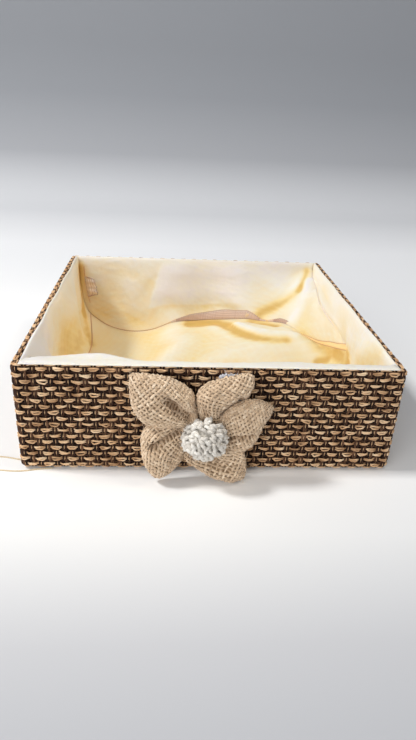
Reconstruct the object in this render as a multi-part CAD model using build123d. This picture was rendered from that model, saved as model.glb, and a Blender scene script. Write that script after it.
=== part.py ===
"""Flower girl basket: a square tray of board panels in woven paper-straw cloth, with a loose lining.

Frame: millimetres, +Z up, +X to the right and -Y towards the viewer of the flowered front.
The origin is the middle of the underside, which rests on Z = 0.
"""

from build123d import *
import math
import os

# Driving dimensions
WIDTH = 240.0  # over the woven cloth, along X
DEPTH = 240.0  # over the woven cloth, along Y
HEIGHT = 74.0  # floor to the top of the rim
CLOTH = 2.4  # thickness of the woven paper-straw cloth
BOARD = 2.0  # thickness of the stiff board panels
HEM_DROP = 18.0  # how far the cloth turns down inside the rim
TAPE = 0.3  # thickness of the paper tape in the corners
TAPE_LEG = 12.0
LINING = 1.0  # thickness of the lining and its seams
LINING_GAP = 0.8  # between the turned hem and the lining
SEW_THREAD = 0.5  # diameter of the sewing thread
SEAM_GAP = 0.8  # holds the sewing thread between the wrap and the bottom panel
OVERLOCK = 7.0  # width of the overlocked seam allowances
OVERLOCK_LIFT = 2.5  # keeps an allowance off the panels that it joins
OVERLOCK_END = 12.0  # and off the allowances that it would meet at a corner
TAIL_DIAMETER = 0.8  # the two loose thread ends

# The flower, on the middle of the front
FLOWER_X = -4.5
FLOWER_Z = 33.5
FELT = 1.6
GLUE = 1.0
CENTRE_RADIUS = 14.0
CENTRE_RISE = 12.0

# Derived sizes
BOARD_X = WIDTH / 2 - CLOTH  # outer faces of the board tray
BOARD_Y = DEPTH / 2 - CLOTH
INNER_X = BOARD_X - BOARD  # inner faces of the boards
INNER_Y = BOARD_Y - BOARD
HEM_X = INNER_X - CLOTH  # inner faces of the turned hem
HEM_Y = INNER_Y - CLOTH
BOARD_TOP = HEIGHT - CLOTH
BASE_TOP = CLOTH + BOARD
CLOTH_CORNER = CLOTH + BOARD  # radius over the cloth, where the board's edge is fully rounded
HEM_END = HEIGHT - HEM_DROP
RIM_X = HEM_X - LINING_GAP  # where the lining hangs
RIM_Y = HEM_Y - LINING_GAP
RIM_Z = HEIGHT - 3.0
TAIL_Z = TAIL_DIAMETER / 2 + 0.05
FRONT = -DEPTH / 2
PETAL_BACK = FRONT - FELT - GLUE  # the plane that the petals lie on


def block(x, y, z):
    """A box from three (low, high) pairs."""
    size = [high - low for low, high in (x, y, z)]
    middle = [(high + low) / 2 for low, high in (x, y, z)]
    return Pos(*middle) * Box(*size)


def centred(half_x, half_y, low, high):
    """A box centred on the Z axis."""
    return block((-half_x, half_x), (-half_y, half_y), (low, high))


def save(shape, name):
    """Write one node."""
    export_step(shape, f"parts/{name}.step")


# Board tray


def tray_envelope():
    """The outside of the five boards: vertical and lower edges rounded over the board's thickness."""
    envelope = centred(BOARD_X, BOARD_Y, CLOTH, BOARD_TOP)
    envelope = fillet(envelope.edges().filter_by(Axis.Z), BOARD)
    return fillet(envelope.edges().group_by(Axis.Z)[0], BOARD)


def make_boards():
    """The base board, with the four walls standing on its rim."""
    envelope = tray_envelope()
    walls = (BASE_TOP, BOARD_TOP)
    across = (-BOARD_X, BOARD_X)
    along = (-INNER_Y, INNER_Y)
    save(envelope & block(across, (-BOARD_Y, BOARD_Y), (CLOTH, BASE_TOP)), "base_board")
    save(envelope & block(across, (-BOARD_Y, -INNER_Y), walls), "front_board")
    save(envelope & block(across, (INNER_Y, BOARD_Y), walls), "back_board")
    save(block((-BOARD_X, -INNER_X), along, walls), "left_board")
    save(block((INNER_X, BOARD_X), along, walls), "right_board")


def make_corner_tapes():
    """An L of paper tape down the inside of each corner, from the base board to below the hem."""
    top = HEM_END - 1.0
    for side_x, name_x in ((-1, "left"), (1, "right")):
        for side_y, name_y in ((-1, "front"), (1, "back")):
            leg_x = block(
                sorted((side_x * INNER_X, side_x * (INNER_X - TAPE_LEG))),
                sorted((side_y * INNER_Y, side_y * (INNER_Y - TAPE))),
                (BASE_TOP, top),
            )
            leg_y = block(
                sorted((side_x * INNER_X, side_x * (INNER_X - TAPE))),
                sorted((side_y * INNER_Y, side_y * (INNER_Y - TAPE_LEG))),
                (BASE_TOP, top),
            )
            save(leg_x + leg_y, f"corner_tape_{name_y}_{name_x}")


# Woven cover


def make_woven_cover():
    """One strip round the four walls, turned over the rim, and a panel under the base."""
    outside = centred(WIDTH / 2, DEPTH / 2, 0, HEIGHT)
    outside = fillet(outside.edges().filter_by(Axis.Z), CLOTH_CORNER)
    outside = fillet(outside.edges().group_by(Axis.Z)[0], CLOTH_CORNER)
    outside = fillet(outside.edges().group_by(Axis.Z)[-1], CLOTH)
    wrap = outside - centred(HEM_X, HEM_Y, -1, HEIGHT + 1)
    wrap = fillet(wrap.edges().filter_by(Plane.XY).group_by(Axis.Z)[-1].filter_by(GeomType.LINE), CLOTH)
    wrap -= tray_envelope()
    wrap -= centred(INNER_X, INNER_Y, -1, HEM_END)
    save(wrap, "woven_wrap")
    save(centred(INNER_X - SEAM_GAP, INNER_Y - SEAM_GAP, 0, CLOTH), "woven_bottom")


def thread_loop(half_x, half_y, height):
    """A closed thread round the tray."""
    route = Pos(0, 0, height) * RectangleRounded(2 * half_x, 2 * half_y, SEW_THREAD).wire()
    section = Plane(route @ 0, z_dir=route % 0) * Circle(SEW_THREAD / 2)
    return sweep(section, path=route)


def make_seam_threads():
    """The stitch line that holds the lining to the hem, and the one that closes the underside."""
    rim_gap = LINING_GAP / 2
    save(thread_loop(HEM_X - rim_gap, HEM_Y - rim_gap, RIM_Z - 2), "rim_seam_thread")
    seam_gap = SEAM_GAP / 2
    save(thread_loop(INNER_X - seam_gap, INNER_Y - seam_gap, CLOTH / 2), "bottom_seam_thread")


# Loose lining: a sewn bag that hangs from the rim, rucked up and pulled forward at the back right

BASE_PUFF = 14.0  # how far the middle of the bag's base rides up
BAG_LOWEST = 5.4  # just above the base board
BAG_FRONT_LEFT = (-104, -107, 6)
BAG_FRONT_RIGHT = (104, -107, 6)
BAG_BACK_LEFT = (-103, 109, 19)
BAG_BACK_RIGHT = (109, -30, 54)
BACK_SEAM = [
    BAG_BACK_LEFT,
    (-64, 90, 8),
    (-24, 88, 18.5),
    (3, 88, 22),
    (30, 86, 25.5),
    (62, 81, 26),
    (82, 73, 30),
    (102, 28, 34),
    BAG_BACK_RIGHT,
]
LEFT_SEAM = [BAG_FRONT_LEFT, (-103, -50, BAG_LOWEST), (-101, 5, BAG_LOWEST), (-97, 62, 6), BAG_BACK_LEFT]
RIGHT_SEAM = [BAG_FRONT_RIGHT, (105, -86, 8), (107, -66, 14), (108.5, -40, 34), BAG_BACK_RIGHT]
RIGHT_RIM_SHARES = [0, 0.12, 0.24, 0.36, 1]  # where the right seam's points hang from, along the rim


def even_shares(count):
    """Evenly spaced shares from 0 to 1."""
    return [i / (count - 1) for i in range(count)]


def between(start, end, shares):
    """Points at these shares of the way from start to end."""
    first = Vector(*start)
    way = Vector(*end) - first
    return [first + way * share for share in shares]


def facets(first, second):
    """Triangles that join two rows of points."""
    faces = []
    for i in range(len(first) - 1):
        for corners in ((first[i], first[i + 1], second[i + 1]), (first[i], second[i + 1], second[i])):
            faces.append(Face(Wire.make_polygon(corners, close=True)))
    return faces


def faceted_solid(outer, inner):
    """A closed solid between two grids of points, each a list of rows."""
    faces = []
    for skin in (outer, inner):
        for row, next_row in zip(skin, skin[1:]):
            faces += facets(row, next_row)
    columns = [[row[0] for row in outer], [row[0] for row in inner]]
    far_columns = [[row[-1] for row in outer], [row[-1] for row in inner]]
    for edge in ((outer[0], inner[0]), (outer[-1], inner[-1]), columns, far_columns):
        faces += facets(*edge)
    solid = Solid(Shell(faces))
    return solid if solid.volume > 0 else Solid(Shell(faces).reversed())


def inner_row(row, middle, start, end):
    """A row's inner face: its ends lean the way of the panels that they share."""
    shifts = [start] + [middle] * (len(row) - 2) + [end]
    return [point + Vector(*shift) * LINING for point, shift in zip(row, shifts)]


def make_lining():
    """Four wall panels and the base. Neighbouring panels share their edge points, so they meet face to face."""
    back = [Vector(*point) for point in BACK_SEAM]
    left = [Vector(*point) for point in LEFT_SEAM]
    right = [Vector(*point) for point in RIGHT_SEAM]
    front = between(BAG_FRONT_LEFT, BAG_FRONT_RIGHT, even_shares(len(back)))
    rim_corners = {
        (x, y): (x * RIM_X, y * RIM_Y, RIM_Z)
        for x in (-1, 1)
        for y in (-1, 1)
    }
    walls = {
        "lining_front": (front, (-1, -1), (1, -1), (0, 1)),
        "lining_back": (back, (-1, 1), (1, 1), (0, -1)),
        "lining_left": (left, (-1, -1), (-1, 1), (1, 0)),
        "lining_right": (right, (1, -1), (1, 1), (-1, 0)),
    }
    for name, (seam, start, end, facing) in walls.items():
        shares = RIGHT_RIM_SHARES if name == "lining_right" else even_shares(len(seam))
        rim = between(rim_corners[start], rim_corners[end], shares)
        start_in = (-start[0], -start[1])
        end_in = (-end[0], -end[1])
        rim_inner = inner_row(rim, (*facing, 0), (*start_in, 0), (*end_in, 0))
        seam_inner = inner_row(seam, (*facing, 1), (*start_in, 1), (*end_in, 1))
        save(faceted_solid([rim, seam], [rim_inner, seam_inner]), name)
    make_lining_base(front, back, left, right)
    make_overlocks(front, back, left, right, rim_corners)


def make_lining_base(front, back, left, right):
    """The base panel fills the loop of seams, and its middle is puffed up."""
    outer = []
    inner = []
    rows = len(left)
    columns = len(front)
    for j in range(rows):
        v = j / (rows - 1)
        row = []
        for i in range(columns):
            u = i / (columns - 1)
            sides = left[j] * (1 - u) + right[j] * u
            ends = front[i] * (1 - v) + back[i] * v
            near = front[0] * (1 - u) + front[-1] * u
            far = back[0] * (1 - u) + back[-1] * u
            puff = BASE_PUFF * math.sin(math.pi * u) * math.sin(math.pi * v)
            point = sides + ends - near * (1 - v) - far * v + Vector(0, 0, puff)
            row.append(Vector(point.X, point.Y, max(point.Z, BAG_LOWEST)))
        outer.append(row)
        if j == 0:
            inner.append(inner_row(row, (0, 1, 1), (1, 1, 1), (-1, 1, 1)))
        elif j == rows - 1:
            inner.append(inner_row(row, (0, -1, 1), (1, -1, 1), (-1, -1, 1)))
        else:
            inner.append(inner_row(row, (0, 0, 1), (1, 0, 1), (-1, 0, 1)))
    save(faceted_solid(outer, inner), "lining_base")


def allowance(seam, direction, side):
    """A strip that stands on a seam, as overlocked seam allowances do. It stops short of the seam's ends."""
    first = seam[0] + (seam[1] - seam[0]).normalized() * OVERLOCK_END
    last = seam[-1] + (seam[-2] - seam[-1]).normalized() * OVERLOCK_END
    seam = [first, *seam[1:-1], last]
    up = Vector(*direction).normalized()
    low = [point + up * OVERLOCK_LIFT for point in seam]
    high = [point + up * (OVERLOCK_LIFT + OVERLOCK) for point in seam]
    shift = Vector(*side).normalized() * LINING
    return faceted_solid([low, high], [[point + shift for point in row] for row in (low, high)])


def make_overlocks(front, back, left, right, rim_corners):
    """Seam allowances inside the bag: four along the base and four up the corners."""
    save(allowance(front, (0, 0.5, 0.87), (0, 1, 0)), "overlock_base_front")
    save(allowance(back, (-0.45, -0.45, 0.77), (-0.6, -0.8, 0)), "overlock_base_back")
    save(allowance(left, (0.5, 0, 0.87), (1, 0, 0)), "overlock_base_left")
    save(allowance(right, (-0.8, 0, 0.6), (0.6, 0, 0.8)), "overlock_base_right")
    corners = {
        "front_left": ((-1, -1), front[0], (1, 1, 0), (1, -1, 0)),
        "front_right": ((1, -1), front[-1], (-1, 1, 0), (1, 1, 0)),
        "back_left": ((-1, 1), back[0], (1, -1, 0), (0, -1, 0)),
        "back_right": ((1, 1), back[-1], (-0.8, -0.5, 0.4), (0.5, -0.8, 0)),
    }
    for name, (corner, foot, direction, side) in corners.items():
        seam = between(rim_corners[corner], tuple(foot), even_shares(3))
        save(allowance(seam, direction, side), f"overlock_corner_{name}")


# Flower

# name: (angle from +X, reach from the flower's middle, widest half, rise at the tip)
PETALS = {
    "petal_top_left": (146, 56, 17.5, 3),
    "petal_top_right": (63, 46, 12, 3),
    "petal_right": (12, 44, 12, 4),
    "petal_bottom_right": (-53, 38, 13, 8),
    "petal_bottom_left": (229, 38, 14.5, 8),
}
PETAL_START = 11.0  # the petals are gathered at this distance from the middle
# Sections along a petal: (share of its length, share of its widest half, thickness)
PETAL_SECTIONS = [(0.0, 0.4, 6.0), (0.3, 0.8, 11.0), (0.62, 1.0, 12.0), (0.86, 0.7, 8.0), (1.0, 0.12, 2.0)]


def petal(angle, reach, half_width, rise):
    """A puffed leaf, lofted from flat gathered end to tip. The tip stands off the wall by its rise."""
    out = Vector(math.cos(math.radians(angle)), 0, math.sin(math.radians(angle)))
    middle = Vector(FLOWER_X, PETAL_BACK, FLOWER_Z)
    sections = []
    for share, width_share, thickness in PETAL_SECTIONS:
        distance = PETAL_START + share * (reach - PETAL_START)
        lift = thickness / 2 + rise * share**2 + 0.2
        place = middle + out * distance + Vector(0, -lift, 0)
        plane = Plane(place, x_dir=out.cross(Vector(0, 1, 0)), z_dir=out)
        sections.append(plane * Ellipse(half_width * width_share, thickness / 2))
    return loft(sections)


def make_flower():
    """Five petals round a yarn centre, gathered on a thread, on a felt patch that is glued to the front."""
    for name, sizes in PETALS.items():
        save(petal(*sizes), name)
    seat = PETAL_BACK - 11.0
    facing = Plane((FLOWER_X, seat, FLOWER_Z), x_dir=(1, 0, 0), z_dir=(0, -1, 0))
    dome = scale(Sphere(CENTRE_RADIUS), (1, 1, CENTRE_RISE / CENTRE_RADIUS))
    dome &= Pos(0, 0, CENTRE_RADIUS) * Box(4 * CENTRE_RADIUS, 4 * CENTRE_RADIUS, 2 * CENTRE_RADIUS)
    save(facing * dome, "yarn_centre")
    gather = Plane((FLOWER_X, PETAL_BACK - 5.0, FLOWER_Z), x_dir=(1, 0, 0), z_dir=(0, -1, 0))
    save(gather * Torus(PETAL_START - 1.5, SEW_THREAD), "petal_gather_thread")
    felt = block((FLOWER_X + 6, FLOWER_X + 22), (FRONT - FELT, FRONT), (FLOWER_Z - 19, FLOWER_Z + 38))
    save(fillet(felt.edges().filter_by(Axis.Y), 3.0), "felt_backing")
    glue = Plane((FLOWER_X + 14, FRONT - FELT, FLOWER_Z), x_dir=(1, 0, 0), z_dir=(0, -1, 0))
    save(glue * extrude(Circle(7.0), GLUE), "flower_glue")


# Loose thread ends at the lower front left corner

TAIL_UPPER = [
    (-119.0, -111.0, 1.1),
    (-124.0, -109.2, TAIL_Z),
    (-130.0, -107.2, TAIL_Z),
    (-137.0, -106.2, TAIL_Z),
    (-147.0, -108.2, TAIL_Z),
    (-158.0, -104.5, TAIL_Z),
    (-167.0, -107.5, TAIL_Z),
]
TAIL_LOWER = [
    (-99.5, -118.6, TAIL_Z),
    (-107.0, -119.6, TAIL_Z),
    (-113.8, -121.2, TAIL_Z),
    (-121.8, -122.4, TAIL_Z),
    (-133.0, -121.0, TAIL_Z),
    (-145.5, -119.0, TAIL_Z),
    (-157.5, -122.5, TAIL_Z),
    (-167.5, -120.5, TAIL_Z),
]


def thread_tail(route):
    """A limp thread along a route of straight runs joined by the largest arcs that they allow."""
    points = [Vector(*point) for point in route]
    radii = []
    for before, corner, after in zip(points, points[1:], points[2:]):
        arriving = corner - before
        leaving = after - corner
        half_turn = math.radians(arriving.get_angle(leaving)) / 2
        radii.append(0.45 * min(arriving.length, leaving.length) / math.tan(half_turn))
    line = FilletPolyline(*points, radius=radii)
    section = Plane(line @ 0, z_dir=line % 0) * Circle(TAIL_DIAMETER / 2)
    tube = sweep(section, path=line)
    expected = math.pi * TAIL_DIAMETER**2 / 4 * line.length
    print("tail length", round(line.length, 1), "radii", [round(radius) for radius in radii])
    print("tail volume", round(tube.volume, 2), "expected", round(expected, 2))
    return tube


def make_thread_tails():
    """The two ends of the bottom seam's thread."""
    save(thread_tail(TAIL_UPPER), "thread_tail_upper")
    save(thread_tail(TAIL_LOWER), "thread_tail_lower")


os.makedirs("parts", exist_ok=True)
make_boards()
make_corner_tapes()
make_woven_cover()
make_seam_threads()
make_lining()
make_flower()
make_thread_tails()
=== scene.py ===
"""Looks of the flower girl basket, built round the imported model. Lengths are in metres, +Z is up."""

import math

import bpy
import numpy as np
from mathutils import Matrix, Vector


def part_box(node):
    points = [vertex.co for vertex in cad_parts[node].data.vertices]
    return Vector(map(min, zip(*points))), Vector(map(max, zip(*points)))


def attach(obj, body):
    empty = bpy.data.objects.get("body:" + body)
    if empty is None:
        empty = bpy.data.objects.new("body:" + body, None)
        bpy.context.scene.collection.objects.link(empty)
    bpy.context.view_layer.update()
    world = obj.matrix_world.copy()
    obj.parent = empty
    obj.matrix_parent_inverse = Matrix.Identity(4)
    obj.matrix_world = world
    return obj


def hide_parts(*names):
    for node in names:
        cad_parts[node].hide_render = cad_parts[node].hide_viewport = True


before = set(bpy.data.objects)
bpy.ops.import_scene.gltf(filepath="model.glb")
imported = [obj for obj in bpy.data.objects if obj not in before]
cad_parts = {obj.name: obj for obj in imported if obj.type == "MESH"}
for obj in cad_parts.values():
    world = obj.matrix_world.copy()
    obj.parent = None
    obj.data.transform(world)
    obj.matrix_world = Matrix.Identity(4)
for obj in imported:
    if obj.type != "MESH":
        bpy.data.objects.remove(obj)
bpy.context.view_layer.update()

MM = 0.001
rng = np.random.default_rng(7)

# Shared sizes, from the frame
wrap_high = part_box("woven_wrap")[1]
HALF_X = wrap_high.x
HALF_Y = wrap_high.y
HEIGHT = wrap_high.z
board_low, board_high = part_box("front_board")
CLOTH = HALF_X - board_high.x
BOARD = board_high.y - board_low.y
CORNER = CLOTH + BOARD
PETAL_BACK = -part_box("flower_glue")[0].y  # how far in front of the origin the petals' backs lie


# ---------------------------------------------------------------- helpers


def mesh_piece(name, points, faces, material, uv=None, tone=None):
    """A smooth mesh from arrays. uv has one pair for each face corner, tone one value for each point."""
    mesh = bpy.data.meshes.new(name)
    mesh.from_pydata(points, [], faces)
    if uv is not None:
        mesh.uv_layers.new(name="strand").data.foreach_set("uv", uv.astype(np.float32).ravel())
    if tone is not None:
        values = tone.astype(np.float32).ravel()
        mesh.attributes.new("tone", "FLOAT", "POINT").data.foreach_set("value", values)
    mesh.polygons.foreach_set("use_smooth", [True] * len(mesh.polygons))
    mesh.materials.append(material)
    mesh.update()
    piece = bpy.data.objects.new(name, mesh)
    bpy.context.collection.objects.link(piece)
    return piece


def unit(vectors):
    """Vectors of length one."""
    return vectors / np.maximum(np.linalg.norm(vectors, axis=-1, keepdims=True), 1e-12)


def grid_quads(grid):
    """Quads of a grid of point numbers."""
    corners = (grid[:-1, :-1], grid[1:, :-1], grid[1:, 1:], grid[:-1, 1:])
    return np.stack(corners, axis=-1).reshape(-1, 4).tolist()


def closed(rings):
    """Rings of point numbers, each with its first one again at the end."""
    return np.concatenate([rings, rings[:, :1]], axis=1)


def tube_faces(rings):
    """Faces of a tube, from its rings of point numbers, with a cap at both ends."""
    here, ahead = rings[:-1], rings[1:]
    quads = np.stack([here, ahead, np.roll(ahead, -1, 1), np.roll(here, -1, 1)], axis=-1)
    return quads.reshape(-1, 4).tolist() + [rings[0, ::-1].tolist(), rings[-1].tolist()]


def grid_piece(name, points, material, tone=None):
    """A smooth mesh from a grid of points."""
    numbers = np.arange(points[..., 0].size).reshape(points.shape[:2])
    return mesh_piece(name, points.reshape(-1, 3), grid_quads(numbers), material, tone=tone)


def thicken(piece, thickness):
    """Give a sheet its thickness, half to each side."""
    skin = piece.modifiers.new("thickness", "SOLIDIFY")
    skin.thickness = thickness
    skin.offset = 0


def angles_round(count):
    """Evenly spaced angles round a circle."""
    return np.linspace(0, 2 * np.pi, count + 1)[:-1]


def fibre_path(start, way, curl, reach, swing, turn):
    """A loose fibre's path: straight out, with a swing to one side."""
    t = np.linspace(0, 1, 6)[:, None]
    return start + way * reach * t + curl * reach * swing * np.sin(t * turn)


class Strands:
    """Collects flattened tubes that follow many paths, and makes one mesh of them."""

    def __init__(self, ring):
        self.ring = ring
        self.points = []
        self.faces = []
        self.uv = []
        self.tone = []
        self.count = 0

    def add(self, path, normals, half_width, half_height, tone):
        """One tube. The normals, half sizes and tone are one for each point of the path, or one for all."""
        samples, ring = len(path), self.ring
        tangent = unit(np.gradient(path, axis=0))
        across = unit(np.cross(tangent, normals))
        out = np.cross(across, tangent)
        half_width = np.broadcast_to(half_width, samples)
        half_height = np.broadcast_to(half_height, samples)
        angle = np.arange(ring) * 2 * np.pi / ring
        ring_across = across[:, None] * (half_width[:, None] * np.cos(angle))[..., None]
        ring_out = out[:, None] * (half_height[:, None] * np.sin(angle))[..., None]
        self.points.append((path[:, None] + ring_across + ring_out).reshape(-1, 3))
        self.tone.append(np.repeat(np.broadcast_to(tone, samples), ring))

        self.faces += tube_faces(self.count + np.arange(samples * ring).reshape(samples, ring))
        self.count += samples * ring

        along = np.concatenate([[0], np.cumsum(np.linalg.norm(np.diff(path, axis=0), axis=-1))])
        around = 2 * np.pi * half_width.mean() * np.arange(ring + 1) / ring
        quad_uv = np.zeros((samples - 1, ring, 4, 2))
        quad_uv[..., 0, 0] = quad_uv[..., 3, 0] = along[:-1, None]
        quad_uv[..., 1, 0] = quad_uv[..., 2, 0] = along[1:, None]
        quad_uv[..., 0, 1] = quad_uv[..., 1, 1] = around[:-1]
        quad_uv[..., 2, 1] = quad_uv[..., 3, 1] = around[1:]
        self.uv += [quad_uv.reshape(-1, 2), np.zeros((2 * ring, 2))]

    def piece(self, name, material):
        """The mesh object."""
        points, uv, tone = (np.concatenate(parts) for parts in (self.points, self.uv, self.tone))
        return mesh_piece(name, points, self.faces, material, uv, tone)


def finish_piece(piece, node):
    """Ride on the basket, and stand for a CAD node, which is hidden."""
    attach(piece, "root")
    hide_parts(node)
    return piece


# ---------------------------------------------------------------- materials


class Shade:
    """A small builder for node materials."""

    def __init__(self, name, roughness=0.6, **sockets):
        self.material = bpy.data.materials.new(name)
        self.material.use_nodes = True
        self.nodes = self.material.node_tree.nodes
        self.links = self.material.node_tree.links
        self.shader = self.nodes["Principled BSDF"]
        self.shader.inputs["Roughness"].default_value = roughness
        for socket, value in sockets.items():
            self.shader.inputs[socket.replace("_", " ")].default_value = value

    def node(self, kind, inputs=None, **settings):
        """A node with these settings, and its inputs set or linked."""
        node = self.nodes.new(kind)
        for key, value in settings.items():
            setattr(node, key, value)
        for key, value in (inputs or {}).items():
            if isinstance(value, bpy.types.NodeSocket):
                self.links.new(value, node.inputs[key])
            else:
                node.inputs[key].default_value = value
        return node

    def place(self, scale=(1, 1, 1)):
        """The object's coordinates in metres, scaled."""
        start = self.node("ShaderNodeTexCoord").outputs["Object"]
        return self.node("ShaderNodeMapping", {"Vector": start, "Scale": scale}).outputs["Vector"]

    def strand_place(self, scale, turn=0.0):
        """Metres along a strand and round it, turned and scaled."""
        start = self.node("ShaderNodeUVMap", uv_map="strand").outputs["UV"]
        inputs = {"Vector": start, "Rotation": (0, 0, turn), "Scale": scale}
        return self.node("ShaderNodeMapping", inputs).outputs["Vector"]

    def noise(self, where, scale, detail, rough=0.5):
        inputs = {"Vector": where, "Scale": scale, "Detail": detail, "Roughness": rough}
        return self.node("ShaderNodeTexNoise", inputs).outputs["Fac"]

    def waves(self, where, scale, distortion, direction, **inputs):
        inputs = {"Vector": where, "Scale": scale, "Distortion": distortion, **inputs}
        return self.node("ShaderNodeTexWave", inputs, bands_direction=direction).outputs["Fac"]

    def ramp(self, value, *stops):
        """Stops are (position, (r, g, b))."""
        node = self.node("ShaderNodeValToRGB", {"Fac": value})
        elements = node.color_ramp.elements
        while len(elements) < len(stops):
            elements.new(0.5)
        for element, (position, colour) in zip(elements, stops):
            element.position = position
            element.color = (*colour, 1)
        return node.outputs["Color"]

    def maths(self, operation, first, second, third=0.0):
        inputs = {0: first, 1: second, 2: third}
        return self.node("ShaderNodeMath", inputs, operation=operation).outputs[0]

    def multiply(self, first, second):
        """Two colours, multiplied."""
        inputs = {0: 1.0, 6: first, 7: second}
        return self.node("ShaderNodeMix", inputs, data_type="RGBA", blend_type="MULTIPLY").outputs[2]

    def attribute(self, name):
        return self.node("ShaderNodeAttribute", attribute_name=name).outputs["Fac"]

    def colour(self, socket):
        self.links.new(socket, self.shader.inputs["Base Color"])

    def bump(self, height, distance, strength):
        inputs = {"Height": height, "Distance": distance, "Strength": strength}
        self.links.new(self.node("ShaderNodeBump", inputs).outputs["Normal"], self.shader.inputs["Normal"])

    def grain(self, grain, stops, relief):
        """The finished material, with a grain that sets its colour and its relief: distance and strength."""
        self.colour(self.ramp(grain, *stops))
        self.bump(grain, *relief)
        return self.material


def straw_material(name, dark, middle, pale, roughness):
    """Twisted paper straw: fine lengthwise creases, and a tone of its own for each float."""
    shade = Shade(name, roughness=roughness, Specular_IOR_Level=0.18)
    creases = shade.noise(shade.strand_place((40, 2600, 1)), 1.0, 4.0, 0.6)
    stains = shade.noise(shade.place(), 260.0, 2.0)
    value = shade.maths("MULTIPLY_ADD", creases, 0.7, shade.attribute("tone"))
    value = shade.maths("MULTIPLY_ADD", stains, 0.25, value)
    value = shade.maths("SUBTRACT", value, 0.47)
    shade.colour(shade.ramp(value, (0.0, dark), (0.5, middle), (1.0, pale)))
    shade.bump(creases, 0.0003, 0.8)
    return shade.material


STRAW_TAN = straw_material("straw_tan", (0.26, 0.125, 0.055), (0.7, 0.44, 0.24), (0.94, 0.72, 0.48), 0.65)
STRAW_BROWN = straw_material(
    "straw_brown", (0.01, 0.004, 0.003), (0.04, 0.016, 0.009), (0.22, 0.11, 0.06), 0.7
)


def backing_material():
    """The cloth's inner side: brown straw in shade."""
    shade = Shade("straw_backing", roughness=0.9, Specular_IOR_Level=0.1)
    stops = (0.3, (0.008, 0.004, 0.003)), (0.75, (0.04, 0.02, 0.014))
    return shade.grain(shade.noise(shade.place(), 800.0, 3.0), stops, (0.0004, 0.8))


STRAW_BACKING = backing_material()


def thread_material(name, dark, middle, pale):
    """Spun thread: a slanting twist, loose fibres and uneven dye."""
    shade = Shade(name, roughness=0.85, Specular_IOR_Level=0.2, Sheen_Weight=0.25, Sheen_Roughness=0.5)
    twist = shade.noise(shade.strand_place((900, 900, 1), math.radians(35)), 1.0, 3.0)
    value = shade.maths("MULTIPLY_ADD", twist, 0.5, shade.attribute("tone"))
    value = shade.maths("SUBTRACT", value, 0.25)
    shade.colour(shade.ramp(value, (0.0, dark), (0.5, middle), (1.0, pale)))
    shade.bump(twist, 0.0002, 0.8)
    return shade.material


JUTE = thread_material("jute_thread", (0.3, 0.195, 0.115), (0.625, 0.46, 0.305), (0.86, 0.715, 0.54))
YARN = thread_material("white_yarn", (0.37, 0.33, 0.28), (0.62, 0.58, 0.52), (0.83, 0.8, 0.74))


# ---------------------------------------------------------------- woven cloth

COLUMN = 5.05 * MM  # width of a column of floats
STRAW_HALF = 0.56 * MM
STRAW_THICK = 0.5 * MM
FLOAT_LIFT = 0.58 * MM
WARP_HALF, WARP_THICK = 0.6 * MM, 0.55 * MM
WARP_LIFT = 0.3 * MM
TIE_HALF, TIE_THICK = 0.42 * MM, 0.36 * MM
BEAD_HALF = 0.34 * MM
# Half the distance between a pair's two straws, and how much more of it there is where they are on top
WEFT_GAP, WEFT_PARTING = 0.47 * MM, 0.07 * MM
WARP_GAP, WARP_PARTING = 0.82 * MM, 0.16 * MM
# How unevenly the straws lie: how far they wander, spread, tilt and sag
WANDER, SPREAD, TILT, SAG = 0.2 * MM, 0.13 * MM, 0.2 * MM, 0.14 * MM
MID_CLOTH = -CLOTH / 2
TOP_ROUND = CLOTH  # radius over the rim's two edges
HEM_ROWS = 9 * MM  # how far down inside the rim the strands are modelled
WALL_ROWS_OF_FLOATS = 18.5

ARC = math.pi / 2 * CORNER  # the cloth's length round the bottom edge, or round an upright corner
TOP_ARC = math.pi / 2 * TOP_ROUND
# The cloth's lengths from the floor up: bottom edge, wall, outer rim edge, top of the board, inner rim edge
PROFILE = (ARC, HEIGHT - CORNER - TOP_ROUND, TOP_ARC, BOARD, TOP_ARC)
PROFILE_MARKS = np.concatenate([[0], np.cumsum(PROFILE)])
PROFILE_END = PROFILE_MARKS[-1] + HEM_ROWS
BACKING_END = PROFILE_MARKS[-1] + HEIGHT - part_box("corner_tape_front_left")[1].z - TOP_ROUND - 1 * MM
ROW = sum(PROFILE[:3]) / WALL_ROWS_OF_FLOATS  # height of a row of floats
SIDES = (
    # name, direction along it, way out, half its length, distance of its face
    ("front", (1, 0), (0, -1), HALF_X, HALF_Y),
    ("right", (0, 1), (1, 0), HALF_Y, HALF_X),
    ("back", (-1, 0), (0, 1), HALF_X, HALF_Y),
    ("left", (0, -1), (-1, 0), HALF_Y, HALF_X),
)


def square_wave(phase, wider=0.0):
    """A float's rise: flat on top, with quick turns between. wider makes its high part longer."""
    return np.tanh(3.0 * (np.cos(phase) + wider)) / math.tanh(3.0)


def profile(t):
    """The cloth's outer face, from the floor edge up the wall and over the rim: offset, height, normal."""
    low, wall, rise, flat, fall = (
        np.clip(t - mark, 0, length) for mark, length in zip(PROFILE_MARKS, PROFILE)
    )
    inner = np.maximum(t - PROFILE_MARKS[-1], 0)
    angle = -math.pi / 2 + low / CORNER + rise / TOP_ROUND + fall / TOP_ROUND
    offset = CORNER * (np.sin(low / CORNER) - 1)
    offset = offset - TOP_ROUND * (1 - np.cos(rise / TOP_ROUND)) - flat
    offset = offset - TOP_ROUND * np.sin(fall / TOP_ROUND)
    height = CORNER * (1 - np.cos(low / CORNER)) + wall
    height = height + TOP_ROUND * np.sin(rise / TOP_ROUND)
    height = height - TOP_ROUND * (1 - np.cos(fall / TOP_ROUND)) - inner
    return offset, height, np.cos(angle), np.sin(angle)


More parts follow.
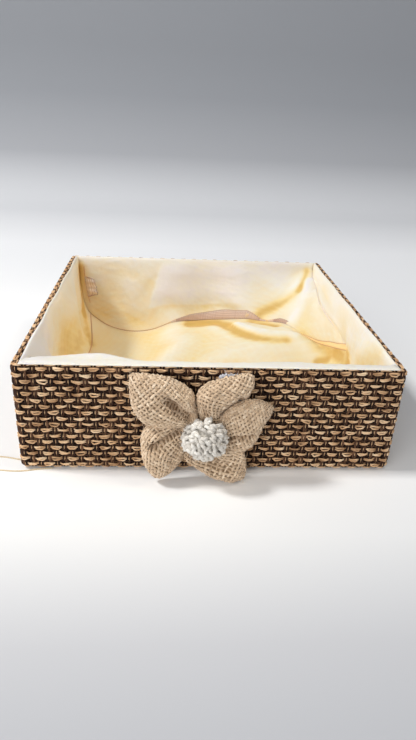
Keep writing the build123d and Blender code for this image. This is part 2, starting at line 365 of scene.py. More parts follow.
def wall_surface(side, q, t, lift):
    """Points and normals of the cloth round one side. q runs from corner to corner."""
    along, out, half, face = side[1:]
    straight = 2 * (half - CORNER)
    run = np.clip(q - ARC / 2, 0, straight)
    angle = (q - ARC / 2 - run) / CORNER
    offset, height, normal_out, normal_up = profile(t)
    along, out = np.array([*along, 0.0]), np.array([*out, 0.0])
    radial = np.cos(angle)[..., None] * out + np.sin(angle)[..., None] * along
    reach = np.maximum(CORNER + offset + lift * normal_out, 0.2 * MM)
    point = (run - straight / 2)[..., None] * along + (face - CORNER) * out + reach[..., None] * radial
    point = point + (height + lift * normal_up)[..., None] * np.array([0, 0, 1.0])
    normal = normal_out[..., None] * radial + normal_up[..., None] * np.array([0, 0, 1.0])
    return point, normal


def cell_noise(rows, columns, scale):
    """One random value for each crossing."""
    return rng.normal(0, scale, (rows + 2, columns + 2))


def at_cells(table, row, column):
    """Values of a table of crossings, smoothly between columns."""
    low = np.floor(column).astype(int)
    share = column - low
    share = share * share * (3 - 2 * share)
    low = np.clip(low, 0, table.shape[1] - 2)
    return table[row, low] * (1 - share) + table[row, low + 1] * share


def add_wefts(surface, tan, brown, length, start, rows, columns, samples):
    """Paired straws across the cloth, each pair over one column and under the next, and ties between rows."""
    wander, spread, tilt, sag = (cell_noise(rows, columns, size) for size in (WANDER, SPREAD, TILT, SAG))
    sag = np.abs(sag)
    tone = rng.beta(1.6, 1.6, wander.shape)
    hue = rng.uniform(0, 1, wander.shape)
    q = np.linspace(0, length, int(length / COLUMN * samples) + 1)
    column = (start + q) / COLUMN - int(start / COLUMN)
    for i in range(rows):
        middle = (i + 0.5) * ROW
        for k in (-1, 1):
            over = square_wave(np.pi * ((start + q) / COLUMN - 0.5 + i), 0.12 * k - 0.02)
            gap = WEFT_GAP + WEFT_PARTING * over + at_cells(spread, i, column)
            t = middle + k * gap + at_cells(wander, i, column) + k * at_cells(tilt, i, column) * over
            t = t - (k < 0) * at_cells(sag, i, column) * np.maximum(over, 0)
            lift = MID_CLOTH + FLOAT_LIFT * over + 0.5 * at_cells(tilt, i + (k > 0), column)
            point, normal = surface(q, t, np.minimum(lift, -STRAW_THICK))
            shade = at_cells(tone, i, column) * 0.7 + 0.3 * at_cells(hue, i + (k > 0), column)
            width = STRAW_HALF * (0.92 + 0.12 * over + 0.6 / MM * at_cells(spread, i + (k < 0), column))
            tan.add(point, normal, width, STRAW_THICK, shade)
        t = middle + ROW / 2 + 0.12 * MM * np.sin(column * 2.2 + i)
        lift = MID_CLOTH - 0.12 * MM + 0.2 * MM * np.cos(np.pi * 2 * column + i)
        point, normal = surface(q, t, lift)
        brown.add(point, normal, TIE_HALF, TIE_THICK, 0.25 + 0.5 * at_cells(hue, i, column))


def add_warps(surface, tan, brown, length, height, start, columns):
    """Paired brown straws up the cloth, with a bead of tan straw between them where they are on top."""
    bend = np.cumsum(rng.normal(0, 0.05 * MM, columns + 2))
    bend -= bend.mean()
    t = np.linspace(0, height, int(height / ROW * 5) + 1)
    for j in range(int(math.ceil(start / COLUMN - 0.5)), int((start + length) / COLUMN - 0.5) + 1):
        middle = (j + 0.5) * COLUMN - start
        over = -square_wave(np.pi * (t / ROW - 0.5 + j))
        lift = MID_CLOTH + WARP_LIFT * over
        sway = bend[(j - int(start / COLUMN)) % len(bend)] + 0.12 * MM * np.sin(t / ROW * 2.1 + j)
        for k in (-1, 1):
            q = np.clip(middle + k * (WARP_GAP + WARP_PARTING * over) + sway, 0, length)
            point, normal = surface(q, t, lift)
            dark = rng.uniform(0.1, 0.75) + 0.2 * np.sin(t / ROW * 1.3 + rng.uniform(0, 6))
            brown.add(point, normal, WARP_HALF, WARP_THICK, dark)
        q = np.clip(middle + sway + 0.15 * MM * np.sin(t / ROW * 3 + j), 0, length)
        point, normal = surface(q, t, lift + 0.1 * MM)
        bead = 0.04 * MM + BEAD_HALF * np.clip(np.cos(np.pi * (t / ROW - 0.5 + j + 1)), 0, 1) ** 10
        tan.add(point, normal, bead, 0.8 * bead, 0.45)


def weave(surface, length, height, name, start=0.0, samples=10, ring=6):
    """Plain weave of paired tan straws and paired brown ones. start is its phase along its length."""
    columns = int(math.ceil((length + start % COLUMN) / COLUMN)) + 1
    tan, brown = Strands(ring), Strands(ring - 1)
    add_wefts(surface, tan, brown, length, start, int(height / ROW), columns, samples)
    add_warps(surface, tan, brown, length, height, start, columns)
    return tan.piece(f"{name}_tan", STRAW_TAN), brown.piece(f"{name}_brown", STRAW_BROWN)


def backing(surface, length, height, name):
    """The shaded inner side of the cloth, a sheet just under the strands."""
    q = np.linspace(0, length, int(length / (3 * MM)) + 1)
    t = np.linspace(0, height, int(height / (1 * MM)) + 1)
    grid_q, grid_t = np.meshgrid(q, t, indexing="ij")
    point, _ = surface(grid_q, grid_t, np.full_like(grid_q, -CLOTH + 0.25 * MM))
    return grid_piece(f"{name}_backing", point, STRAW_BACKING)


def make_wrap():
    """The woven strip round the four walls. Each wall has its tan straws, its brown straws and a backing."""
    start = 0.0
    for side in SIDES:
        length = 2 * (side[3] - CORNER) + ARC

        def surface(q, t, lift, side=side):
            return wall_surface(side, q, t, lift)

        name = f"weave_{side[0]}"
        pieces = weave(surface, length, PROFILE_END, name, start)
        for piece in (*pieces, backing(surface, length, BACKING_END, name)):
            finish_piece(piece, "woven_wrap")
        start += length


def make_bottom():
    """The woven panel under the base, facing down."""
    low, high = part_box("woven_bottom")

    def surface(q, t, lift):
        point = np.stack([low.x + q, low.y + t + 0 * q, -lift + 0 * q], axis=-1)
        return point, np.broadcast_to(np.array([0, 0, -1.0]), point.shape)

    size = high - low
    pieces = weave(surface, size.x, size.y, "weave_bottom", samples=5, ring=5)
    for piece in (*pieces, backing(surface, size.x, size.y, "weave_bottom")):
        finish_piece(piece, "woven_bottom")


make_wrap()
make_bottom()

# ---------------------------------------------------------------- flower

PITCH = 2.3 * MM  # burlap thread spacing
JUTE_HALF = 0.8 * MM
JUTE_THICK = 0.42 * MM
JUTE_FIBRES = 160  # loose fibres on each petal
CORE_INSET = 0.75  # how far the inner layer of burlap lies under the threads, in millimetres
WRAP_ANGLE = math.radians(102)  # how far a petal's cloth turns round to each side
GATHERED = 0.35  # the share of a petal's length in which its cloth is drawn together
YARN_PLACE = (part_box("yarn_centre")[0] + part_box("yarn_centre")[1]) / 2
YARN_LOOPS = 128
YARN_FIBRES = 4  # loose fibres on each loop
YARN_CORE_SIZE = 0.84  # the solid core under the loops, against the whole centre
DOME_RINGS, DOME_SIDES = 9, 32
GOLDEN_ANGLE = math.pi * (3 - math.sqrt(5))

# Each petal has a low and a high edge from its gathered end to its tip, as (x, z) in millimetres on the
# front, the angle of its threads to its length in degrees, its thickness, how far its back stands off the
# felt at the gathered end and at the tip, and its creases: (x, z) of both ends, half width and depth.
PETALS = {
    "petal_top_left": {
        "low": [(-15, 37), (-20, 38.5), (-29.5, 37.8), (-38, 39.3), (-44.4, 44.5), (-48, 52.6),
                (-49.2, 62), (-49.6, 71)],
        "high": [(-9, 43), (-11, 54), (-12.5, 60.5), (-19.7, 66.4), (-28, 70.3), (-36, 71.5),
                 (-43, 72), (-48, 71.8)],
        "grain": 4,
        "thickness": 12.0,
        "stand": (1.0, 0.3),
        "creases": [(-26, 57, -14, 46, 3.2, 7.0), (-22.5, 54.5, -21, 52.5, 2.6, 3.5),
                    (-40, 62, -28, 60, 5, 1.2)],
    },
    "petal_top_right": {
        "low": [(4.5, 39), (6.5, 43), (8.5, 50), (12, 54.5), (18.5, 56.8), (21.6, 61.5), (23.4, 67),
                (23.2, 71.6)],
        "high": [(-6.5, 42), (-8.7, 50), (-9.7, 56), (-8.6, 61.3), (-4, 66), (2, 68.9), (10.8, 71.2),
                 (17.8, 72.6), (22, 72.6)],
        "grain": 12,
        "thickness": 10.5,
        "stand": (1.0, 0.3),
        "creases": [(16.5, 58, 6, 47.5, 2.6, 6.0), (-5.5, 52.5, -4, 50, 1.6, 2.6), (2, 61, 10, 64, 3, 0.8)],
    },
    "petal_right": {
        "low": [(3, 20), (12, 19.8), (21.5, 21.6), (26.8, 27), (29.5, 34), (31.5, 39.5), (35.3, 45.2),
                (37, 50)],
        "high": [(3.5, 41), (6, 45.5), (10, 51.4), (18.9, 55.5), (24, 56), (28.9, 55.3), (33.5, 53.4),
                 (36.6, 51.2)],
        "grain": 3,
        "thickness": 10.0,
        "stand": (1.6, 1.0),
        "creases": [(8, 32, 24, 34.5, 2.0, 5.0), (10, 48, 16, 49, 2.0, 1.2)],
    },
    "petal_bottom_right": {
        "low": [(-13, 21), (-17, 18.6), (-15.5, 14.3), (-8.8, 9.4), (1.8, 3.4), (9, 1.6), (16, 1.2),
                (20.5, 1.9)],
        "high": [(7, 24), (13, 25), (19, 22.5), (21.6, 16), (22.2, 10), (22, 5.5), (21.2, 2.6)],
        "grain": 35,
        "thickness": 9.5,
        "stand": (1.5, 8.0),
        "creases": [(-10, 17.5, 9, 13, 4.2, 4.0), (14, 20, 20, 13, 2.5, 1.2)],
    },
    "petal_bottom_left": {
        "low": [(-14, 37), (-20, 40.5), (-30, 41), (-38, 39.8), (-41.8, 34), (-42.4, 25), (-40.5, 14),
                (-37, 6.5)],
        "high": [(-12, 24), (-16, 21), (-17.3, 16.5), (-21.7, 10), (-27.5, 5), (-32, 3.4), (-35.5, 4.6)],
        "grain": 14,
        "thickness": 10.5,
        "stand": (1.0, 7.5),
        "creases": [(-36, 27.5, -20, 36, 2.4, 6.0), (-31, 27, -19, 27, 3.4, 1.8), (-30, 12, -22, 19, 4, 1.0)],
    },
}
# How full a petal is, at shares of its length from the gathered end, as a share of its thickness
THICKNESS_SHARES = ((0, 0.5), (0.22, 0.85), (0.5, 1.0), (0.8, 0.72), (1, 0.1))


def smooth(knots, values, where):
    """Smooth values between knots."""
    knots = np.asarray(knots, float)
    values = np.asarray(values, float)
    slope = np.gradient(values, knots, axis=0)
    i = np.clip(np.searchsorted(knots, where, side="right") - 1, 0, len(knots) - 2)
    h = knots[i + 1] - knots[i]
    t = (where - knots[i]) / h
    if values.ndim > 1:
        h, t = h[..., None], t[..., None]
    start = (2 * t**3 - 3 * t**2 + 1) * values[i] + (t**3 - 2 * t**2 + t) * h * slope[i]
    return start + (3 * t**2 - 2 * t**3) * values[i + 1] + (t**3 - t**2) * h * slope[i + 1]


def line_through(points, share):
    """The places at these shares of the length of a smooth line through given points."""
    points = np.asarray(points, float)
    knots = np.concatenate([[0], np.cumsum(np.linalg.norm(np.diff(points, axis=0), axis=1))])
    return smooth(knots, points, share * knots[-1])


def petal_surface(sizes, share, turn, inset=0.0):
    """Places on a petal. share runs from the gathered end to the tip, turn is the angle round the petal."""
    low, high = line_through(sizes["low"], share), line_through(sizes["high"], share)
    middle = (low + high) / 2
    half = np.linalg.norm(high - low, axis=-1) / 2
    across = unit(high - low)
    place = middle + across * ((half - inset) * np.sin(turn))[..., None]
    thick = sizes["thickness"] * smooth(*zip(*THICKNESS_SHARES), share)
    end = math.cos(WRAP_ANGLE)
    rise = (thick - inset) * np.clip((np.cos(turn) - end) / (1 - end), 0, 1) ** 0.8
    dent = np.zeros_like(rise)
    for x0, z0, x1, z1, width, depth in sizes["creases"]:
        first, run = np.array([x0, z0]), np.array([x1 - x0, z1 - z0])
        along = np.clip(((place - first) @ run) / (run @ run), 0, 1)
        gap = np.linalg.norm(place - first - along[..., None] * run, axis=-1)
        dent = dent + depth * np.exp(-((gap / width) ** 2))
    puff = 0.45 * np.sin(place[..., 0] * 0.55 + place[..., 1] * 0.3) * np.sin(place[..., 1] * 0.5)
    rise = np.maximum(rise + puff * np.clip(rise / 4, 0, 1) - dent * np.clip(rise / 5, 0, 1), 0)
    stand = sizes["stand"][0] + (sizes["stand"][1] - sizes["stand"][0]) * share**1.5
    depth = PETAL_BACK / MM + stand + 0.7 + inset * 0.5 + rise
    return np.stack([place[..., 0], -depth, np.maximum(place[..., 1], 0.9 + inset)], axis=-1) * MM


def petal_normal(sizes, share, turn):
    """The way out of a petal's cloth."""
    step = 0.004
    ahead, behind = np.clip(share + step, 0, 1), np.clip(share - step, 0, 1)
    along = petal_surface(sizes, ahead, turn) - petal_surface(sizes, behind, turn)
    around = petal_surface(sizes, share, turn + 3 * step) - petal_surface(sizes, share, turn - 3 * step)
    return unit(np.cross(around, along))


def petal_threads(threads, sizes, length, girths):
    """Two sets of threads, each over one and under the next, which draw together at the gathered end.

    girths are the lengths round the petal at even steps from the gathered end to the tip."""
    spread_share = np.linspace(0, 1, len(girths))
    girths = np.where(spread_share < GATHERED, np.interp(GATHERED, spread_share, girths), girths)
    grain = math.radians(sizes["grain"])
    along = np.array([math.cos(grain), math.sin(grain)])
    reach = int(length / PITCH) + 8
    for family in (1, -1):
        way, other = (along, along[::-1] * (-1, 1)) if family == 1 else (along[::-1] * (-1, 1), along)
        steps = np.arange(-reach, reach, 0.16)
        for k in range(-reach, reach + 1):
            wobble = 0.06 * np.sin(steps * 1.3 + k * 1.7)
            u, v = ((k + wobble)[:, None] * other + steps[:, None] * way).T * PITCH
            share = u / length
            turn = 2 * v / np.interp(share, spread_share, girths) * WRAP_ANGLE
            inside = (share >= 0) & (share <= 1) & (np.abs(turn) <= WRAP_ANGLE)
            for run in np.split(np.arange(len(steps)), np.flatnonzero(np.diff(inside)) + 1):
                if not inside[run[0]] or len(run) < 5:
                    continue
                point = petal_surface(sizes, share[run], turn[run])
                normal = petal_normal(sizes, share[run], turn[run])
                rise = family * 0.3 * MM * np.cos(np.pi * (steps[run] + k)) + 0.12 * MM * rng.normal()
                width = JUTE_HALF * (
                    1 + 0.12 * rng.normal() + 0.1 * np.sin(steps[run] * 2.3 + rng.uniform(0, 6))
                )
                tone = rng.normal(0.5, 0.1) + 0.12 * np.sin(steps[run] * 1.7 + rng.uniform(0, 6))
                squeeze = 0.62 + 0.38 * np.clip(share[run] / GATHERED, 0, 1)
                path = point + normal * rise[:, None]
                threads.add(path, normal, width * squeeze, JUTE_THICK, np.clip(tone, 0.05, 0.95))


def petal_fuzz(threads, sizes):
    """Loose jute fibres that stand off the cloth."""
    for _ in range(JUTE_FIBRES):
        share, turn = rng.uniform(0.05, 1), rng.uniform(-1.4, 1.4)
        start = petal_surface(sizes, np.array(share), np.array(turn))
        normal = petal_normal(sizes, np.array(share), np.array(turn))
        sway = unit(rng.normal(size=3) + normal * 0.5)
        curl = unit(rng.normal(size=3))
        path = fibre_path(start + normal * 0.3 * MM, sway, curl, rng.uniform(1.5, 4.5) * MM, 0.35, 3)
        path[:, 1] = np.minimum(path[:, 1], -HALF_Y - 0.3 * MM)
        path[:, 2] = np.maximum(path[:, 2], 0.3 * MM)
        threads.add(path, normal, 0.055 * MM, 0.055 * MM, 0.8)


def petal_core(sizes, name):
    """The inner layer of burlap that shows dark between the threads, closed at the back. Its darker colour is
    painted shade.
    """
    share = np.linspace(0.0, 1.0, 30)
    front = np.linspace(-WRAP_ANGLE, WRAP_ANGLE, 29)
    turn = np.concatenate([front, np.linspace(WRAP_ANGLE, -WRAP_ANGLE, 9)[1:-1]])
    grid_share, grid_turn = np.meshgrid(share, turn, indexing="ij")
    points = petal_surface(sizes, grid_share, grid_turn, CORE_INSET)
    low, high = sizes["stand"]
    back = PETAL_BACK + 0.5 * MM + (low + (high - low) * share**1.5) * MM
    points[:, len(front) :, 1] = -back[:, None]
    rings = np.arange(grid_turn.size).reshape(grid_turn.shape)
    return mesh_piece(name, points.reshape(-1, 3), tube_faces(rings), BURLAP_CORE_PAINTED_SHADE)


def make_petals():
    """Five stuffed petals of open burlap."""
    for name, sizes in PETALS.items():
        share = np.linspace(0, 1, 40)
        middle = petal_surface(sizes, share, np.zeros(40))
        length = np.linalg.norm(np.diff(middle, axis=0), axis=1).sum()
        turn = np.linspace(-WRAP_ANGLE, WRAP_ANGLE, 40)
        belts = petal_surface(sizes, *np.meshgrid(share, turn, indexing="ij"))
        girths = np.linalg.norm(np.diff(belts, axis=1), axis=2).sum(axis=1)
        threads = Strands(6)
        petal_threads(threads, sizes, length, girths)
        petal_fuzz(threads, sizes)
        petal = threads.piece(f"{name}_burlap", JUTE)
        core = petal_core(sizes, f"{name}_inner_layer")
        for piece in (petal, core):
            finish_piece(piece, name)


def core_painted_shade_material():
    """The burlap under the outer threads, seen through their gaps: the same burlap, darker, as painted shade.
    """
    shade = Shade("burlap_inner_layer_painted_shade", roughness=0.95, Specular_IOR_Level=0.1)
    stops = (0.3, (0.16, 0.095, 0.05)), (0.7, (0.42, 0.29, 0.175))
    return shade.grain(shade.noise(shade.place(), 900.0, 3.0), stops, (0.0005, 0.8))


BURLAP_CORE_PAINTED_SHADE = core_painted_shade_material()


def yarn_loop(yarn, number, foot, size):
    """One short fat loop on the dome, with a few loose fibres."""
    height = 1 - (number + 0.5) / YARN_LOOPS * 1.12
    flat = math.sqrt(max(1 - min(abs(height), 1) ** 2, 0))
    angle = number * GOLDEN_ANGLE + rng.normal(0, 0.12)
    way = np.array([flat * math.cos(angle), -height, flat * math.sin(angle)])
    way = way + rng.normal(0, 0.035, 3)
    body = foot + way * size * 0.86
    normal = unit(way / size)
    lean = unit(np.cross(normal, np.array([0.25, -1.0, 0.1]) + rng.normal(0, 0.35, 3)))
    lean = unit(lean * 0.35 + np.array([0.55, 0, -0.6]) + rng.normal(0, 0.3, 3))
    lean = unit(lean - normal * (lean @ normal))
    t = np.linspace(-1, 1, 11)
    span = rng.uniform(1.5, 2.2) * MM
    bulge = (1 - t**2) * rng.uniform(1.3, 2.0) * MM - 0.7 * MM
    path = body + t[:, None] * span * lean + bulge[:, None] * normal
    path = path + np.sin(t * 2 + number)[:, None] * 0.35 * MM * np.cross(normal, lean)
    thick = (1.12 + 0.12 * rng.normal()) * MM * (1 - 0.35 * t**4)
    # Each loop is paler at its crest, where it bulges out most: painted highlight
    tone = np.clip(rng.normal(0.55, 0.14), 0.1, 1) + 0.12 * (1 - t**2)
    yarn.add(path, normal, thick, thick, tone)
    for _ in range(YARN_FIBRES):
        s = rng.uniform(-0.7, 0.7)
        root = body + s * span * lean + (1 - s * s) * 1.6 * MM * normal
        away = unit(normal + rng.normal(0, 0.9, 3))
        fibre_t = np.linspace(0, 1, 5)[:, None]
        reach = rng.uniform(0.9, 2.4) * MM
        fibre = root + away * reach * fibre_t + unit(rng.normal(size=3)) * reach * 0.3 * fibre_t**2
        yarn.add(fibre, normal, 0.05 * MM, 0.05 * MM, 0.9)


def yarn_core(foot, size):
    """The closed dome under the loops."""
    polar = np.linspace(0, math.pi / 2, DOME_RINGS + 1)[1:, None]
    around = angles_round(DOME_SIDES)
    flat = np.sin(polar)
    ways = np.stack([flat * np.cos(around), -np.cos(polar) + 0 * around, flat * np.sin(around)], axis=-1)
    points = foot + np.concatenate([ways.reshape(-1, 3), [(0, -1, 0)]]) * size
    rings = closed(np.arange(DOME_RINGS * DOME_SIDES).reshape(DOME_RINGS, DOME_SIDES))
    top = DOME_RINGS * DOME_SIDES
    faces = grid_quads(rings[:, ::-1]) + [rings[-1, :-1].tolist()]
    faces += [[top, ahead, here] for here, ahead in zip(rings[0, :-1].tolist(), rings[0, 1:].tolist())]
    return mesh_piece("yarn_centre_core", points, faces, YARN_CORE)


def make_yarn_centre():
    """A pompon of white yarn: short fat loops packed on a dome, over a solid core."""
    low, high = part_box("yarn_centre")
    size = np.array([(high.x - low.x) / 2, high.y - low.y, (high.x - low.x) / 2])
    foot = np.array([YARN_PLACE.x, high.y, YARN_PLACE.z])
    yarn = Strands(8)
    for number in range(YARN_LOOPS):
        yarn_loop(yarn, number, foot, size)
    finish_piece(yarn.piece("yarn_centre_loops", YARN), "yarn_centre")
    finish_piece(yarn_core(foot, size * YARN_CORE_SIZE), "yarn_centre")


def yarn_core_material():
    """The shaded yarn under the loops."""
    shade = Shade("yarn_core", roughness=0.95, Sheen_Weight=0.2)
    tint = shade.noise(shade.place(), 700.0, 3.0)
    shade.colour(shade.ramp(tint, (0.3, (0.3, 0.27, 0.22)), (0.7, (0.6, 0.56, 0.5))))
    shade.bump(shade.noise(shade.place(), 1500.0, 3.0), 0.0005, 0.8)
    return shade.material


YARN_CORE = yarn_core_material()
make_petals()
make_yarn_centre()

# ---------------------------------------------------------------- felt, and the pieces inside

FELT_HAIRS = 420


def felt_material():
    """Pale grey-blue felt: a mat of fine fibres."""
    shade = Shade("pale_felt", roughness=0.95, Specular_IOR_Level=0.1, Sheen_Weight=0.3)
    stops = (0.3, (0.42, 0.42, 0.47)), (0.7, (0.72, 0.71, 0.74))
    return shade.grain(shade.noise(shade.place(), 1400.0, 5.0, 0.7), stops, (0.0006, 0.9))


def felt_mat(low, high, rim, material):
    """The patch itself: rings of points from its glued face to its front."""
    middle = (low + high) / 2
    back, front = ((high.y, 0.0), (high.y, 0.9)), ((low.y, 0.93), (low.y - 0.1 * MM, 0.5), (low.y, 0.0))
    rings = (*back, (middle.y, 1.0), *front)
    points = [(middle.x + x * size, y, middle.z + z * size) for y, size in rings for x, z in rim]
    numbers = closed(np.arange(len(points)).reshape(len(rings), -1))
    return mesh_piece("felt_backing_mat", points, grid_quads(numbers), material)


def felt_hairs(low, high, rim, material):
    """Fine fibres that stand out of the patch's edge."""
    middle = (low + high) / 2
    hairs = Strands(4)
    for _ in range(FELT_HAIRS):
        angle = rng.uniform(0, 2 * np.pi)
        spot = rim[int(angle / (2 * np.pi) * len(rim)) % len(rim)] * rng.uniform(0.8, 0.99)
        start = np.array([middle.x + spot[0], rng.uniform(low.y, middle.y), middle.z + spot[1]])
        out = unit(np.array([math.cos(angle), -0.35, math.sin(angle)]) + rng.normal(0, 0.5, 3))
        curl = unit(rng.normal(size=3))
        path = fibre_path(start, out, curl, rng.uniform(1.0, 4.2) * MM, 0.45, 2.6)
        path[:, 1] = np.minimum(path[:, 1], -HALF_Y - 0.4 * MM)
        hairs.add(path, out, 0.08 * MM, 0.08 * MM, 0.8)
    return hairs.piece("felt_backing_fibres", material)


def make_felt():
    """The patch behind the petals: a soft mat with a ragged, hairy edge."""
    low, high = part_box("felt_backing")
    half = (high - low) / 2
    around = angles_round(96)
    corner = (np.abs(np.cos(around)) ** 5 + np.abs(np.sin(around)) ** 5) ** (-1 / 5)
    ragged = 1 - 0.025 * (1 + np.sin(around * 23) * np.sin(around * 7 + 1))
    rim = np.stack([half.x * np.cos(around), half.z * np.sin(around)], axis=1) * (corner * ragged)[:, None]
    material = felt_material()
    for make in (felt_mat, felt_hairs):
        finish_piece(make(low, high, rim, material), "felt_backing")


def board_material():
    """Grey bookbinder's board: pressed fibres and darker specks."""
    shade = Shade("greyboard", roughness=0.9, Specular_IOR_Level=0.15)
    stops = (0.25, (0.16, 0.14, 0.115)), (0.5, (0.31, 0.285, 0.24)), (0.75, (0.42, 0.39, 0.34))
    return shade.grain(shade.noise(shade.place((1, 1, 3)), 320.0, 5.0, 0.65), stops, (0.0004, 0.7))


def tape_material():
    """Kraft paper tape with fine lengthwise fibres."""
    shade = Shade("kraft_tape", roughness=0.6, Specular_IOR_Level=0.3)
    stops = (0.3, (0.36, 0.22, 0.11)), (0.7, (0.55, 0.37, 0.21))
    return shade.grain(shade.noise(shade.place((3, 3, 1)), 500.0, 4.0), stops, (0.0002, 0.6))


def stitch_material():
    """Sewing thread of the hidden seams, with its slanting twist."""
    shade = Shade("seam_stitches", roughness=0.8, Sheen_Weight=0.2)
    stops = (0.2, (0.42, 0.3, 0.16)), (0.8, (0.7, 0.56, 0.37))
    return shade.grain(shade.waves(shade.place(), 420.0, 2.0, "DIAGONAL", Detail=2.0), stops, (0.0002, 0.8))


def glue_material():
    """Set hot glue: milky, smooth and slightly wavy."""
    shade = Shade("set_glue", roughness=0.25, Transmission_Weight=0.3)
    stops = (0.3, (0.72, 0.69, 0.6)), (0.7, (0.86, 0.84, 0.77))
    return shade.grain(shade.noise(shade.place(), 240.0, 2.0), stops, (0.0008, 0.5))


def paint_nodes():
    """Finish the CAD nodes that stay as they are."""
    boards = [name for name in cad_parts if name.endswith("_board")]
    tapes = [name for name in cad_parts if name.startswith("corner_tape")]
    seams = ["rim_seam_thread", "bottom_seam_thread", "petal_gather_thread"]
    for names, material in (
        (boards, board_material()),
        (tapes, tape_material()),
        (seams, stitch_material()),
        (["flower_glue"], glue_material()),
    ):
        for name in names:
            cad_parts[name].material_slots[0].material = material


make_felt()
paint_nodes()

# ---------------------------------------------------------------- lining

COLUMNS = 44  # cloth columns along each wall
WALL_ROWS = 15  # cloth rows from the rim to the seam of the base
FINE = 3  # how many times finer the finished cloth is than the simulated one
SETTLE_FRAMES = 50
BASE_HOLD = 0.02  # how firmly the base keeps its place as it settles. The rim and the seams have 1
SATIN = 0.35 * MM
BAG_LOWEST = 5.2 * MM  # just above the base board

# The seam between the walls and the base, round the bag, in millimetres: front, right, back, left
SEAMS = (
    [(-104, -107, 6), (-60, -108, 5.6), (0, -108.5, 5.4), (60, -108, 5.6), (104, -107, 6)],
    [(104, -107, 6), (105, -86, 8), (107, -66, 14), (108.5, -48, 26), (110, -41, 36), (111, -33, 47)],
    [(111, -33, 47), (107, -2, 36.5), (100, 22, 30.5), (94, 40, 29), (88, 56, 29.5), (80, 66, 30),
     (62, 78, 27), (51, 88, 25), (30, 92, 22.5), (4, 95, 20), (-23, 93, 17.6), (-44, 91, 10), (-64, 92, 8),
     (-85, 98, 11), (-103, 109, 19)],
    [(-103, 109, 19), (-97, 62, 6), (-101, 5, 5.6), (-103, -50, 5.6), (-104, -107, 6)],
)
# How far along the rim the cloth hangs from, at shares of the right seam's length
RIGHT_RIM = ((0, 0.35, 0.7, 0.85, 1), (0, 0.18, 0.33, 0.5, 1))
# Rows of cloth over the rim, in millimetres: distance in from the outer face, height above the rim
RIM_FRONT = ((0.8, 0.1), (2.4, 0.75), (5.4, 0.7), (7.8, 0.0))
RIM_SIDES = ((5.5, 0.3), (6.2, 0.45), (7.0, -0.5), (7.7, -2.6))

# Folds pressed into each wall before it hangs, in millimetres: where the fold meets the rim and the base
# seam along the wall, the shares of the drop where it starts and ends, half width, height into the basket
FOLDS = (
    [(-70, -62, 0.0, 0.55, 20, 5), (-20, -25, 0.1, 0.9, 13, 3), (45, 40, 0.0, 0.7, 22, 4),
     (85, 90, 0.1, 0.8, 9, 4)],
    [(-60, -60, 0.0, 0.9, 12, 4), (-20, -38, 0.05, 0.8, 12, 3), (35, -5, 0.0, 0.7, 15, 4),
     (88, 60, 0.05, 0.6, 8, -5)],
    [(105, 52, -0.05, 1.0, 6, -6), (-104, -66, 0.05, 1.0, 8, 3), (-70, -52, 0.1, 0.9, 14, 2),
     (14, 8, 0.45, 0.95, 14, -3)],
    [(84, 70, 0.1, 1.0, 10, -4), (40, 40, -0.1, 0.5, 32, 4), (-88, -84, -0.1, 0.75, 24, 11),
     (0, 10, 0.3, 1.0, 26, -4)],
)
# A pleat in the back wall: where its sides meet the rim and the seam, in millimetres, the shares of the drop
# where it starts and ends, and its height
FLAP = {"left": (-36, -54), "right": (84, 58), "ends": (-0.1, 0.72), "height": 4.0}
# Where the front lining puffs up into a roll behind the rim: place along it, half width, how far in, how high
ROLLS = ((-90, 26, 8, 1.0), (-66, 9, 2.5, 0.5))
# Mounds and dips of the base, in millimetres: x, y, half width, half depth, height
MOUNDS = ((15, 45, 62, 42, 10), (-45, 10, 40, 55, 5), (30, -50, 60, 34, 7))
MOUNDS += ((78, -72, 8, 8, -6), (25, 12, 14, 8, -3))
